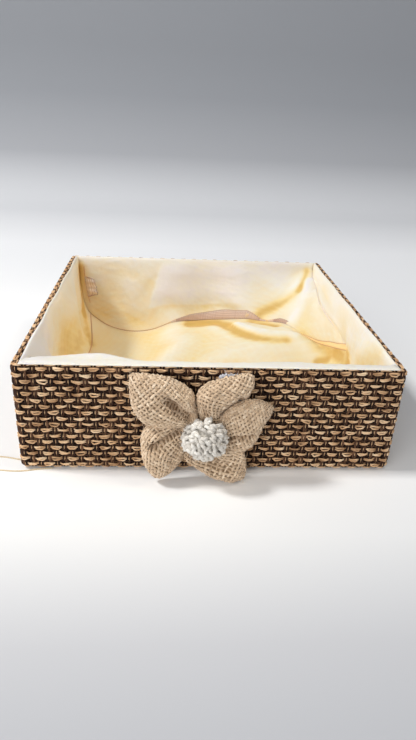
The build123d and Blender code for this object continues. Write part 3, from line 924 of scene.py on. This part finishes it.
# Hollows and ridges of the finished cloth, in millimetres: a line through points, its radius, how much
# painted shade (above 0, more golden) or painted highlight (below 0, paler) it gets, and how far it is pushed
# out of the basket
CREASES_AND_PAINTED_SHADE = (
    # painted shade in the left wall's hollow, and in the crease down the back left corner
    ([(-112, 5, 36), (-111, 28, 26), (-106, 50, 16)], 14, 0.22, 0),
    ([(-112, -8, 30), (-108, 35, 14)], 9, 0.14, 0),
    ([(-111, 12, 44), (-109, 60, 32)], 13, 0.1, 0),
    ([(-112, 112, 64), (-111, 108, 47), (-109, 103, 34), (-107, 94, 26)], 5, 0.7, 0),
    ([(-107, 94, 26), (-103, 81, 15), (-97, 62, 7)], 4, 0.35, 0),
    # painted highlight on the bulge at the front left
    ([(-112, -110, 72), (-112, -62, 66), (-112, -50, 56)], 15, -0.25, -1),
    # painted shade along the seam at the back left, and on the folds above it
    ([(-92, 104, 22), (-76, 106, 22), (-60, 100, 18)], 8, 0.15, 0),
    ([(-58, 110, 60), (-44, 108, 50)], 6, 0.1, 0),
    ([(-95, 111, 66), (-78, 111, 64), (-60, 109, 57)], 6, 0.12, 0),
    # painted shade below the pleat
    ([(-44, 105, 33), (0, 104, 34), (40, 102, 36)], 6, 0.1, 0),
    # painted shade in the hollow under the seam's hump, round the base's mound
    ([(-6, 91, 18), (8.5, 90.5, 18.8), (19, 88.3, 20), (28.6, 78.6, 22.6)], 6.5, 0.65, 1.5),
    (
        [(28.6, 78.6, 22.6), (39, 60, 22.4), (47, 51, 22), (56, 43, 21.5), (66, 39, 21.6), (77, 37, 22.7)],
        6.5, 0.55, 2.2,
    ),
    # the fold between that hollow and the seam: painted highlight on its ridge, and painted shade in a crease
    # near it
    ([(36, 78, 24), (48, 62, 24), (68, 47, 24.5), (86, 40, 26)], 5, -0.1, -2),
    ([(52, 85, 26), (60, 76, 27), (72, 64, 27.5)], 4.5, 0.4, 1),
    # painted shade in the crease at the back right, and painted highlight on the pale cloth over it
    ([(107, 110, 68), (101, 98, 61), (96, 89, 56)], 3.5, 0.6, 1),
    ([(96, 89, 56), (82, 85, 46), (70, 85, 38), (60, 84, 33)], 6, 0.28, 1),
    ([(72, 110, 68), (86, 109, 63), (82, 102, 56)], 11, -0.25, 0),
    ([(107, 98, 64), (94, 70, 51), (87, 62, 36)], 6, -0.12, -1),
    # painted shade along the right end of the seam, and on the right wall
    ([(92, 42, 27), (99, 20, 29), (106, -4, 34), (109, -25, 41)], 6, 0.4, 0),
    ([(107, -12, 36), (109, -34, 36)], 6, 0.4, 0),
    ([(111, -33, 47), (110, -41, 38), (108, -48, 30)], 4.5, 0.7, 0),
    ([(98, 2, 22), (102, -4, 27)], 4, 0.5, 1),
    ([(109, -66, 54), (112, -86, 68)], 9, 0.35, 0),
    ([(109, 58, 66), (107, 20, 60)], 7, 0.15, 0),
)


def step_up(value, width):
    """0 before the start, 1 after the width, smooth between."""
    share = np.clip(value / width, 0, 1)
    return share * share * (3 - 2 * share)


def ring_places():
    """Round the basket from the front left corner: place on the rim's unit square, side, and seam point."""
    share = np.arange(COLUMNS) / COLUMNS
    square, sides, seam = [], [], []
    for side, points in enumerate(SEAMS):
        rim = smooth(*RIGHT_RIM, share) if side == 1 else share
        run, edge = 2 * rim - 1, np.ones(COLUMNS)
        square.append(np.stack([(run, -edge), (edge, run), (-run, edge), (-edge, -run)][side], axis=1))
        sides.append(np.full(COLUMNS, side))
        seam.append(line_through(points, share) * MM)
    return np.concatenate(square), np.concatenate(sides), np.concatenate(seam)


def rim_rows(square):
    """The cloth's rows over the rim."""
    rows = []
    frontness = 1 - step_up((square[:, 1] + 1) * HALF_Y, 14 * MM)
    for (front_in, front_up), (side_in, side_up) in zip(RIM_FRONT, RIM_SIDES):
        along_y = (front_in + (side_in - front_in) * (square[:, 1] + 1) / 2) * MM
        wave = 0.35 * MM * np.sin(square[:, 0] * 9 + square[:, 1] * 12)
        x = square[:, 0] * (HALF_X - side_in * MM + wave * (np.abs(square[:, 0]) == 1))
        y = square[:, 1] * (HALF_Y - along_y)
        z = HEIGHT + (front_up * frontness + side_up * (1 - frontness)) * MM
        rows.append(np.stack([x, y, z], axis=1))
    return rows


def flap_share(along, drop, side_edge, low_edge):
    """1 on the back wall's pleat, 0 off it. side_edge is in millimetres, low_edge a share of the drop."""
    left = FLAP["left"][0] + (FLAP["left"][1] - FLAP["left"][0]) * drop
    right = FLAP["right"][0] + (FLAP["right"][1] - FLAP["right"][0]) * drop
    start, end = FLAP["ends"]
    window = step_up(drop - start, 0.3) * step_up(end - drop, low_edge)
    return step_up(along - left, side_edge) * step_up(right - along, 45) * window


def fold_height(points, sides, drop):
    """How far the pressed folds push each wall point into the basket."""
    height = np.zeros(points.shape[:2])
    for side, folds in enumerate(FOLDS):
        along = points[..., 0 if side in (0, 2) else 1] / MM
        shape = np.zeros_like(height)
        for top, low, start, end, width, rise in folds:
            gap = along - (top + (low - top) * drop)
            window = step_up(drop - start, 0.2) * step_up(end - drop, 0.25)
            shape += rise * np.exp(-((gap / width) ** 2)) * window
        if side == 2:
            shape += FLAP["height"] * flap_share(along, drop, 13, 0.2)
        height += np.where(sides == side, shape, 0)
    return height * MM


def front_roll(x, sides):
    """How far in and up the roll behind the front rim goes."""
    reach, lift = 4 * MM + 0 * x, 0 * x
    for middle, width, depth, rise in ROLLS:
        share = np.exp(-(((x / MM - middle) / width) ** 2))
        reach = reach + 2 * depth * MM * share
        lift = lift + 2 * rise * MM * share
    return np.where(sides == 0, reach, 0), np.where(sides == 0, lift, 0)


def wall_start(rim, seam, sides):
    """The walls before they hang: from the last rim row down and in to the seam, with folds pressed in."""
    drop = np.linspace(0, 1, WALL_ROWS + 1)[:, None]
    bend = np.stack([rim[:, 0], rim[:, 1], seam[:, 2] + 0.35 * (rim[:, 2] - seam[:, 2])], axis=1)
    reach, lift = front_roll(rim[:, 0], sides)
    bend[:, 1] += reach
    bend[:, 2] = np.where(sides == 0, rim[:, 2] + lift, bend[:, 2])
    points = (
        (1 - drop[..., None]) ** 2 * rim
        + 2 * drop[..., None] * (1 - drop[..., None]) * bend
        + drop[..., None] ** 2 * seam
    )
    down = np.gradient(points, axis=0)
    around = (np.roll(points, -1, axis=1) - np.roll(points, 1, axis=1)) / 2
    inward = unit(np.cross(around, -down))
    middle = points * np.array([-1, -1, 0])
    inward *= np.sign((inward * middle).sum(axis=-1, keepdims=True))
    fade = step_up(drop, 0.1) * step_up(1 - drop, 0.1)
    return points + inward * (fold_height(points, sides, drop) * fade)[..., None]


def base_start(seam):
    """The base before it settles: a patch between its four seams, with mounds."""
    n = COLUMNS
    front, right = seam[: n + 1], seam[n : 2 * n + 1]
    back, left = seam[2 * n : 3 * n + 1][::-1], np.concatenate([seam[3 * n :], seam[:1]])[::-1]
    u = np.linspace(0, 1, n + 1)[:, None, None]
    v = np.linspace(0, 1, n + 1)[None, :, None]
    patch = (1 - v) * front[:, None] + v * back[:, None] + (1 - u) * left[None] + u * right[None]
    patch = patch - (1 - u) * (1 - v) * front[0] - u * (1 - v) * front[-1]
    patch = patch - (1 - u) * v * back[0] - u * v * back[-1]
    lift = sum(
        h * np.exp(-(((patch[..., 0] / MM - x) / a) ** 2) - ((patch[..., 1] / MM - y) / b) ** 2)
        for x, y, a, b, h in MOUNDS
    )
    edge = np.minimum(np.minimum(u, 1 - u), np.minimum(v, 1 - v))[..., 0]
    patch[..., 2] += lift * MM * step_up(edge, 0.08)
    return patch


def bag_faces():
    """Quads of the whole bag, and each panel's grid of point numbers."""
    n, rows = COLUMNS, len(RIM_FRONT) + WALL_ROWS
    ring = closed(np.arange(rows * 4 * n).reshape(rows, 4 * n))
    base = np.zeros((n + 1, n + 1), int)
    base[1:-1, 1:-1] = rows * 4 * n + np.arange((n - 1) ** 2).reshape(n - 1, n - 1)
    seam = ring[-1]
    base[:, 0] = seam[: n + 1]
    base[-1, :] = seam[n : 2 * n + 1]
    base[:, -1] = seam[2 * n : 3 * n + 1][::-1]
    base[0, :] = seam[3 * n : 4 * n + 1][::-1]
    grids = {f"lining_{side[0]}": ring[:, i * n : (i + 1) * n + 1] for i, side in enumerate(SIDES)}
    grids["lining_base"] = base
    return grids


def settle(points, grids, hold):
    """Let the bag hang as cloth: held at the rim and the seams, with a little spare cloth between them."""
    mesh = bpy.data.meshes.new("bag")
    mesh.from_pydata(points, [], [quad for grid in grids.values() for quad in grid_quads(grid)])
    bag = bpy.data.objects.new("bag", mesh)
    bpy.context.collection.objects.link(bag)
    group = bag.vertex_groups.new(name="hold")
    for weight in np.unique(hold[hold > 0]):
        group.add(np.flatnonzero(hold == weight).tolist(), float(weight), "REPLACE")
    cloth = bag.modifiers.new("cloth", "CLOTH")
    settings = cloth.settings
    settings.vertex_group_mass = "hold"
    settings.quality = 6
    settings.mass = 0.0012
    settings.tension_stiffness = settings.compression_stiffness = 60
    settings.shear_stiffness = 25
    settings.bending_stiffness = 1.2
    settings.tension_damping = settings.compression_damping = settings.shear_damping = 4
    settings.bending_damping = 0.5
    settings.air_damping = 3
    settings.shrink_min = -0.02
    settings.pin_stiffness = 1.0
    settings.effector_weights.gravity = 0.35
    cloth.collision_settings.use_collision = False
    scene = bpy.context.scene
    cloth.point_cache.frame_end = SETTLE_FRAMES
    for number in range(1, SETTLE_FRAMES + 1):
        scene.frame_set(number)
    ready = bag.evaluated_get(bpy.context.evaluated_depsgraph_get()).data
    settled = np.empty(len(points) * 3)
    ready.vertices.foreach_get("co", settled)
    scene.frame_set(1)
    bpy.data.objects.remove(bag)
    return settled.reshape(-1, 3)


def keep_inside(points):
    """Press the cloth against the hem, the boards and the base where it would pass through them."""
    spare = 2 * CLOTH + BOARD + 0.6 * MM
    low = points[:, 2] < HEIGHT - 2.5 * MM
    for axis, half in enumerate((HALF_X, HALF_Y)):
        points[low, axis] = np.clip(points[low, axis], spare - half, half - spare)
    points[:, 2] = np.maximum(points[:, 2], BAG_LOWEST)
    return points


def soften(grid):
    """The same grid with its small ripples smoothed away. Its edges stay."""
    grid = grid.copy()
    for _ in range(4):
        middle = (grid[:-2, 1:-1] + grid[2:, 1:-1] + grid[1:-1, :-2] + grid[1:-1, 2:]) / 4
        grid[1:-1, 1:-1] = 0.4 * grid[1:-1, 1:-1] + 0.6 * middle
    return grid


def finer(grid):
    """A smooth grid of points between the given ones."""
    rows, columns = grid.shape[:2]
    at_rows = np.linspace(0, rows - 1, (rows - 1) * FINE + 1)
    at_columns = np.linspace(0, columns - 1, (columns - 1) * FINE + 1)
    tall = smooth(np.arange(rows), grid.reshape(rows, -1), at_rows).reshape(len(at_rows), columns, 3)
    wide = smooth(np.arange(columns), tall.transpose(1, 0, 2).reshape(columns, -1), at_columns)
    return wide.reshape(len(at_columns), len(at_rows), 3).transpose(1, 0, 2)


def crumple(points, normals):
    """Fine wrinkles of pressed satin, which fade out at the panel's edges."""
    rows, columns = points.shape[:2]
    u = np.linspace(0, 1, rows)[:, None]
    v = np.linspace(0, 1, columns)[None]
    fade = step_up(np.minimum(u, 1 - u), 0.06) * step_up(np.minimum(v, 1 - v), 0.03)
    height = np.zeros((rows, columns))
    for _ in range(9):
        way = unit(rng.normal(size=3)) * rng.uniform(350, 900)
        warp = unit(rng.normal(size=3)) * rng.uniform(60, 140)
        wave = np.sin(points @ way + 1.8 * np.sin(points @ warp + rng.uniform(0, 6)) + rng.uniform(0, 6))
        patch = step_up(np.sin(points @ (unit(rng.normal(size=3)) * 45) + rng.uniform(0, 6)) + 0.3, 1)
        height += (1 - np.abs(wave)) ** 2 * patch
    return points + normals * (height * 0.13 * MM * fade)[..., None]


def grid_normals(points):
    """The normals of a grid of points."""
    return unit(np.cross(np.gradient(points, axis=1), np.gradient(points, axis=0)))


def near_line(points, line, radius):
    """1 on a smooth line, falling to 0 round it."""
    places = line_through(line, np.linspace(0, 1, 6 * len(line)))
    gap = np.linalg.norm(points[..., None, :] / MM - places, axis=-1).min(axis=-1)
    return np.exp(-((gap / radius) ** 2))


def press(points, normals):
    """The cloth pushed out of the basket along its hollows, and in along its ridges."""
    rows, columns = (np.linspace(0, 1, count) for count in points.shape[:2])
    fade_rows = step_up(np.minimum(rows, 1 - rows), 0.05)
    fade_columns = step_up(np.minimum(columns, 1 - columns), 0.04)
    push = sum(depth * near_line(points, line, radius) for line, radius, _, depth in CREASES_AND_PAINTED_SHADE)
    return points - normals * (push * fade_rows[:, None] * fade_columns * MM)[..., None]


def satin_painted_light(points, normals, name):
    """Painted light on the satin: pale painted highlight on ridges and near the rim, golden painted shade in
    the hollows.
    """
    soft = points.copy()
    for _ in range(10):
        soft[1:-1, 1:-1] = (soft[:-2, 1:-1] + soft[2:, 1:-1] + soft[1:-1, :-2] + soft[1:-1, 2:]) / 4
    hollow = ((soft - points) * normals).sum(axis=-1) / MM
    # Painted shade: the tone grows golden deeper in the basket and in hollows, and pales on ridges as painted
    # highlight
    depth = np.clip((HEIGHT - points[..., 2]) / HEIGHT, 0, 1)
    tone = 0.2 + 0.36 * depth**0.8 + 0.4 * hollow
    # The back wall's pleat gets a paler tone: painted highlight
    if name == "lining_back":
        drop = (np.arange(len(points)) / FINE - len(RIM_FRONT) + 1) / WALL_ROWS
        tone = tone - 0.3 * flap_share(points[..., 0] / MM, drop[:, None], 4, 0.06)
    # Painted shade in the listed hollows and creases, painted highlight on the listed ridges
    for line, radius, amount, _ in CREASES_AND_PAINTED_SHADE:
        tone = tone + amount * near_line(points, line, radius)
    return np.clip(tone, 0, 1)


def satin_material():
    """Ivory satin whose painted shade turns it yellow and golden in its hollows, with a fine weave and soft
    creases.
    """
    finish = {"Specular_IOR_Level": 0.25, "Sheen_Weight": 0.15, "Sheen_Roughness": 0.4}
    soft = {"Subsurface_Weight": 0.4, "Subsurface_Radius": (0.012, 0.008, 0.004), "Subsurface_Scale": 0.4}
    shade = Shade("ivory_satin", roughness=0.58, **finish, **soft)
    place = shade.place()
    mottle = shade.noise(place, 55.0, 4.0, 0.6)
    value = shade.maths("MULTIPLY_ADD", mottle, 0.14, shade.attribute("tone"))
    value = shade.maths("SUBTRACT", value, 0.07)
    # Tone runs from pale, pinkish painted highlight on ridges to yellow and then golden painted shade in
    # hollows
    pale = (0.0, (0.93, 0.83, 0.72)), (0.18, (0.96, 0.86, 0.68))
    golden = (0.42, (0.95, 0.79, 0.52)), (0.7, (0.93, 0.67, 0.3)), (1.0, (0.76, 0.43, 0.12))
    shade.colour(shade.ramp(value, *pale, *golden))
    threads = shade.maths("MULTIPLY", *(shade.waves(place, 900.0, 1.0, axis) for axis in "XZ"))
    creases = shade.noise(place, 160.0, 5.0, 0.62)
    height = shade.maths("MULTIPLY_ADD", threads, 0.06, creases)
    shade.bump(height, 0.0009, 0.55)
    return shade.material


SATIN_CLOTH = satin_material()


def hang_bag():
    """The bag, hung and settled as one cloth: each panel's grid of points."""
    square, sides, seam = ring_places()
    rows = rim_rows(square)
    walls = wall_start(rows[-1], seam, sides)
    base = base_start(seam)
    grids = bag_faces()
    points = np.concatenate([*rows, walls[1:].reshape(-1, 3), base[1:-1, 1:-1].reshape(-1, 3)])
    hold = np.zeros(len(points))
    hold[: len(rows) * 4 * COLUMNS] = 1
    floor = grids["lining_base"]
    hold[floor] = BASE_HOLD
    for seam_points in (floor[0], floor[-1], floor[:, 0], floor[:, -1]):
        hold[seam_points] = 1
    points = settle(points, grids, hold)
    points = keep_inside(points)
    return {name: soften(points[grid]) for name, grid in grids.items()}


def make_lining():
    """The five panels, cut from the settled bag, and their grids."""
    panels = hang_bag()
    cloths = {}
    for name, panel in panels.items():
        fine = finer(panel)
        normals = grid_normals(fine)
        if (normals * (np.array([0, 0, 0.12]) - fine)).sum() < 0:
            normals = -normals
        fine = crumple(press(fine, normals), normals)
        piece = grid_piece(f"{name}_satin", fine, SATIN_CLOTH, satin_painted_light(fine, normals, name))
        thicken(piece, SATIN)
        cloths[name] = finish_piece(piece, name)
    return cloths, panels


cloths, panels = make_lining()

# ---------------------------------------------------------------- overlocked seams

OVERLOCK_THREAD = thread_material(
    "overlock_thread", (0.68, 0.37, 0.16), (0.48, 0.34, 0.29), (0.78, 0.66, 0.56)
)
STITCH_STEP = 2.4 * MM
PATCH_SHIFT = np.array([4.5, -0.6, 3]) * MM  # the back left corner's allowance lies beside its seam


def overlock_cloth_material():
    """The cut edge of the lining between the stitches: pinkish, with painted shade that makes it golden where
    it lies in a hollow.
    """
    shade = Shade("overlock_cloth", roughness=0.7, Specular_IOR_Level=0.2)
    tint = shade.noise(shade.place(), 500.0, 3.0)
    value = shade.maths("MULTIPLY_ADD", tint, 0.2, shade.attribute("tone"))
    stops = (0.1, (0.66, 0.52, 0.45)), (0.5, (0.8, 0.73, 0.67)), (0.95, (0.88, 0.64, 0.29))
    shade.colour(shade.ramp(value, *stops))
    shade.bump(tint, 0.0003, 0.6)
    return shade.material


OVERLOCK_CLOTH = overlock_cloth_material()


def overlock_thread(foot, lean, side, share, rise, length, bare, lines, loops, seam_tone):
    """The thread that binds an allowance: lines along it, and loops across its wide stretch."""
    threads = Strands(6)
    wide = rise > 2 * MM
    for level in np.linspace(0.04, 1, lines):
        inner = 0.04 < level < 1
        wobble = 0.1 * MM * np.sin(share * length / STITCH_STEP * 2 * np.pi)
        path = foot + lean * (rise * level + wobble)[:, None]
        width = np.where(wide, 0.3 * MM, 0.17 * MM) * np.where(inner & (~wide | (share > bare)), 0.1, 1)
        tone = np.where(wide & (share < bare), rng.uniform(0.4, 0.6), seam_tone)
        threads.add(path, side, width, width + SATIN * 0.9, tone)
    for start in np.arange(0.02, min(bare, 0.98), STITCH_STEP / length):
        here = np.interp(start, share, rise)
        if here < 2 * MM or not loops:
            continue
        level = np.linspace(0, 1.04, 7)
        at = np.clip(start + 0.5 * STITCH_STEP / length * level, 0, 1)
        base, stand, out = (
            np.stack([np.interp(at, share, values[:, axis]) for axis in range(3)], axis=1)
            for values in (foot, lean, side)
        )
        path = base + stand * (here * level)[:, None]
        threads.add(path, out, 0.18 * MM, 0.55 * MM, rng.uniform(0.5, 0.9))
    return threads


def overlock(node, seam, up, heights, painted_gold_shade=0.1, lines=6, bare=1.0, loops=True, seam_tone=0.1):
    """A seam's allowance: a narrow strip of cloth that stands on it, bound with looped thread.

    heights are (share of the seam, millimetres). Past the share called bare only its edges are sewn."""
    length = np.linalg.norm(np.diff(seam, axis=0), axis=1).sum()
    share = np.linspace(0.01, 0.99, int(length / (0.8 * MM)))
    foot = line_through(seam, share)
    rise = np.interp(share, *zip(*heights)) * MM * (1 + 0.06 * np.sin(share * 60))
    up = unit(np.array(up, float))
    side = unit(np.cross(unit(np.gradient(foot, axis=0)), up))
    lean = unit(up + side * (0.12 * np.sin(share * 25) + 0.08 * np.sin(share * 61))[:, None])
    foot = foot + lean * 0.3 * MM

    strip = foot + lean * rise[:, None] * np.linspace(0, 1, 4)[:, None, None]
    # Painted shade: the strip turns golden where it is thin or past bare, and elsewhere takes the seam's
    # given tone, high for golden painted shade in a hollow
    tone = np.broadcast_to(np.where((share > bare) | (rise < 1 * MM), 0.8, painted_gold_shade), strip.shape[:2])
    cloth = grid_piece(f"{node}_cloth", strip, OVERLOCK_CLOTH, tone)
    thicken(cloth, 2 * SATIN)
    finish_piece(cloth, node)

    threads = overlock_thread(foot, lean, side, share, rise, length, bare, lines, loops, seam_tone)
    stitches = finish_piece(threads.piece(f"{node}_stitches", OVERLOCK_THREAD), node)
    return [cloth, stitches]


# How high each allowance stands, as (share of its seam, millimetres)
HUMP = ((0, 0.3), (0.27, 0.3), (0.3, 2.4), (0.34, 5.5), (0.4, 8), (0.45, 8.6), (0.52, 8), (0.545, 5))
HUMP += ((0.57, 1.6), (0.595, 0.8), (0.61, 1.8), (0.635, 3.4), (0.665, 2.8), (0.7, 1), (0.74, 0.5))
HUMP += ((0.8, 2), (0.9, 4.4), (1, 5))
PATCH = ((0, 0.3), (0.22, 0.3), (0.27, 9), (0.6, 10.5), (0.64, 3), (0.67, 0.3), (1, 0.3))
HIDDEN = ((0, 2), (0.4, 6), (1, 5))
THIN = ((0, 0.3), (1, 0.3))
RIGHT_HEIGHTS = ((0, 4), (0.5, 2.2), (0.8, 0.4), (1, 0.4))
LEFT_HEIGHTS = ((0, 0.3), (0.4, 0.3), (1, 4))


def make_overlocks():
    """Allowances along the base's seams and up the bag's corners, listed by the panel they are sewn on."""
    front, right, back, left = (panels[f"lining_{side[0]}"] for side in SIDES)
    skip = len(RIM_FRONT) + 1  # the corners' allowances start below the rim
    patch = back[skip:, -1] + PATCH_SHIFT
    return {
        "lining_base": overlock("overlock_base_back", back[-1][::-1], (0, 0.15, 1), HUMP, bare=0.74)
        + overlock("overlock_base_front", front[-1], (0, 0.5, 0.87), ((0, 5), (1, 5)))
        + overlock("overlock_base_left", left[-1], (0.5, 0, 0.87), LEFT_HEIGHTS)
        + overlock("overlock_base_right", right[-1], (-0.8, 0, 0.6), RIGHT_HEIGHTS, painted_gold_shade=0.6),
        "lining_front": overlock("overlock_corner_front_left", front[skip:, 0], (0.7, 0.7, 0), HIDDEN)
        + overlock("overlock_corner_front_right", front[skip:, -1], (-0.7, 0.7, 0), HIDDEN),
        "lining_back": overlock(
            "overlock_corner_back_left", patch, (1, -0.12, 0), PATCH,
            painted_gold_shade=0.4, lines=5, loops=False, seam_tone=0.0,
        ),
        "lining_right": overlock(
            "overlock_corner_back_right", right[skip:, -1], (-0.8, -0.5, 0.4), THIN, seam_tone=1
        ),
    }


def declare_lining():
    """Make the seam allowances, listed by the panel they are sewn on. A seam allowance is a panel's own edge.
    """
    allowances = make_overlocks()


declare_lining()

# ---------------------------------------------------------------- loose thread ends

TAIL_DIAMETER = 0.8 * MM
TAIL_Z = TAIL_DIAMETER / 2 / MM + 0.05
# Each thread's route from where it leaves the basket, in millimetres, and its length
TAILS = {
    "thread_tail_upper": (
        [(-119.0, -111.0, 1.1), (-124.0, -109.2, TAIL_Z), (-130.0, -107.2, TAIL_Z), (-137.0, -106.2, TAIL_Z),
         (-147.0, -108.2, TAIL_Z), (-158.0, -104.5, TAIL_Z), (-167.0, -107.5, TAIL_Z)],
        0.049,
    ),
    "thread_tail_lower": (
        [(-99.5, -118.6, TAIL_Z), (-107.0, -119.6, TAIL_Z), (-113.8, -121.2, TAIL_Z),
         (-121.8, -122.4, TAIL_Z), (-133.0, -121.0, TAIL_Z), (-145.5, -119.0, TAIL_Z),
         (-157.5, -122.5, TAIL_Z), (-167.5, -120.5, TAIL_Z)],
        0.069,
    ),
}


def tail_material():
    """Tan sewing thread with a fine twist."""
    shade = Shade("tail_thread", roughness=0.8, Sheen_Weight=0.2)
    stops = (0.3, (0.5, 0.37, 0.2)), (0.7, (0.8, 0.67, 0.46))
    return shade.grain(shade.noise(shade.place((2500, 2500, 2500)), 1.0, 2.0), stops, (0.0001, 0.7))


def make_tails():
    """Two limp ends of the seam's thread, lying on the table."""
    material = tail_material()
    for name, (route, length) in TAILS.items():
        curve = bpy.data.curves.new(f"{name}_line", "CURVE")
        curve.dimensions = "3D"
        spline = curve.splines.new("NURBS")
        spline.points.add(len(route) - 1)
        for point, place in zip(spline.points, route):
            point.co = (*(v * MM for v in place), 1)
        spline.order_u = 3
        spline.use_endpoint_u = True
        spline.resolution_u = 8
        curve.bevel_depth = TAIL_DIAMETER / 2
        curve.bevel_resolution = 3
        curve.use_fill_caps = True
        curve.materials.append(material)
        piece = bpy.data.objects.new(f"{name}_cord", curve)
        bpy.context.collection.objects.link(piece)
        finish_piece(piece, name)


make_tails()

# ---------------------------------------------------------------- studio


def studio_painted_falloff():
    """White paper with a painted fall-off of light: grey behind the basket and up the backdrop, and a little
    in front of it.
    """
    shade = Shade("studio_white_painted_falloff", roughness=0.95, Specular_IOR_Level=0.0)
    place = shade.node("ShaderNodeSeparateXYZ", {0: shade.node("ShaderNodeTexCoord").outputs["Object"]})
    forward = shade.maths("MULTIPLY_ADD", place.outputs["Y"], 1.0, 0.3)
    # Painted fall-off of light along the floor, from front to back
    near = shade.ramp(
        forward,
        (0.0, (0.53, 0.535, 0.55)),
        (0.05, (0.62, 0.62, 0.63)),
        (0.12, (0.86, 0.86, 0.85)),
        (0.17, (0.94, 0.94, 0.93)),
        (0.75, (0.93, 0.93, 0.93)),
        (1.0, (0.74, 0.745, 0.755)),
    )
    # Painted fall-off of light up the backdrop
    up = shade.ramp(
        shade.maths("MULTIPLY", place.outputs["Z"], 2.5),
        (0.0, (1.0, 1.0, 1.0)),
        (0.2, (0.58, 0.585, 0.6)),
        (0.5, (0.47, 0.48, 0.5)),
        (1.0, (0.47, 0.48, 0.5)),
    )
    shade.colour(shade.multiply(near, up))
    return shade.material


def make_studio():
    """A sweep of white paper and soft light, with one clear lamp high on the left."""
    turn = np.linspace(0, math.pi / 2, 13)
    bend = 0.3
    depth = np.concatenate([[-2.5], 0.75 + bend * np.sin(turn), [0.75 + bend]])
    height = np.concatenate([[0], bend - bend * np.cos(turn), [2.5]])
    points = [(x, y, z) for x in (-4, 4) for y, z in zip(depth, height)]
    count = len(depth)
    faces = [(i, count + i, count + i + 1, i + 1) for i in range(count - 1)]
    mesh_piece("studio_paper", points, faces, studio_painted_falloff())

    world = bpy.data.worlds.new("studio")
    world.use_nodes = True
    world.node_tree.nodes["Background"].inputs["Color"].default_value = (0.93, 0.95, 1.0, 1)
    world.node_tree.nodes["Background"].inputs["Strength"].default_value = 0.36
    bpy.context.scene.world = world
    bpy.context.scene.view_settings.view_transform = "Standard"

    for name, place, target, size, power, spread, colour in (
        ("key", (-2.46, 0.04, 3.03), (0, 0, 0), 0.5, 95.0, 180, (1, 1, 1)),
        ("fill", (-0.75, -1.2, 0.5), (0, 0, 0.03), 0.9, 10.5, 180, (1, 1, 1)),
        ("bounce", (0.3, -0.1, 0.55), (-0.13, 0, 0.03), 0.25, 0.13, 40, (1.0, 0.9, 0.75)),
    ):
        light = bpy.data.lights.new(name, "AREA")
        light.size = size
        light.energy = power
        light.spread = math.radians(spread)
        light.color = colour
        lamp = bpy.data.objects.new(name, light)
        lamp.location = place
        lamp.rotation_euler = (Vector(target) - Vector(place)).to_track_quat("-Z", "Y").to_euler()
        bpy.context.collection.objects.link(lamp)


def make_camera():
    """The camera stands in front, a little left of the middle, and looks down at the basket."""
    place = Vector((-0.0286, -0.4224, 0.2228))
    yaw, pitch, roll = (math.radians(angle) for angle in (4.73, 26.32, 3.03))
    forward = Vector((math.sin(yaw) * math.cos(pitch), math.cos(yaw) * math.cos(pitch), -math.sin(pitch)))
    level = Vector((math.cos(yaw), -math.sin(yaw), 0))
    upright = level.cross(forward)
    right = level * math.cos(roll) + upright * math.sin(roll)
    up = upright * math.cos(roll) - level * math.sin(roll)
    data = bpy.data.cameras.new("camera")
    data.sensor_width = 36
    data.lens = 27.77
    data.clip_start = 0.01
    camera = bpy.data.objects.new("camera", data)
    turn = Matrix((right, up, -forward)).transposed().to_4x4()
    camera.matrix_world = Matrix.Translation(place) @ turn
    bpy.context.collection.objects.link(camera)
    bpy.context.scene.camera = camera


make_studio()
make_camera()
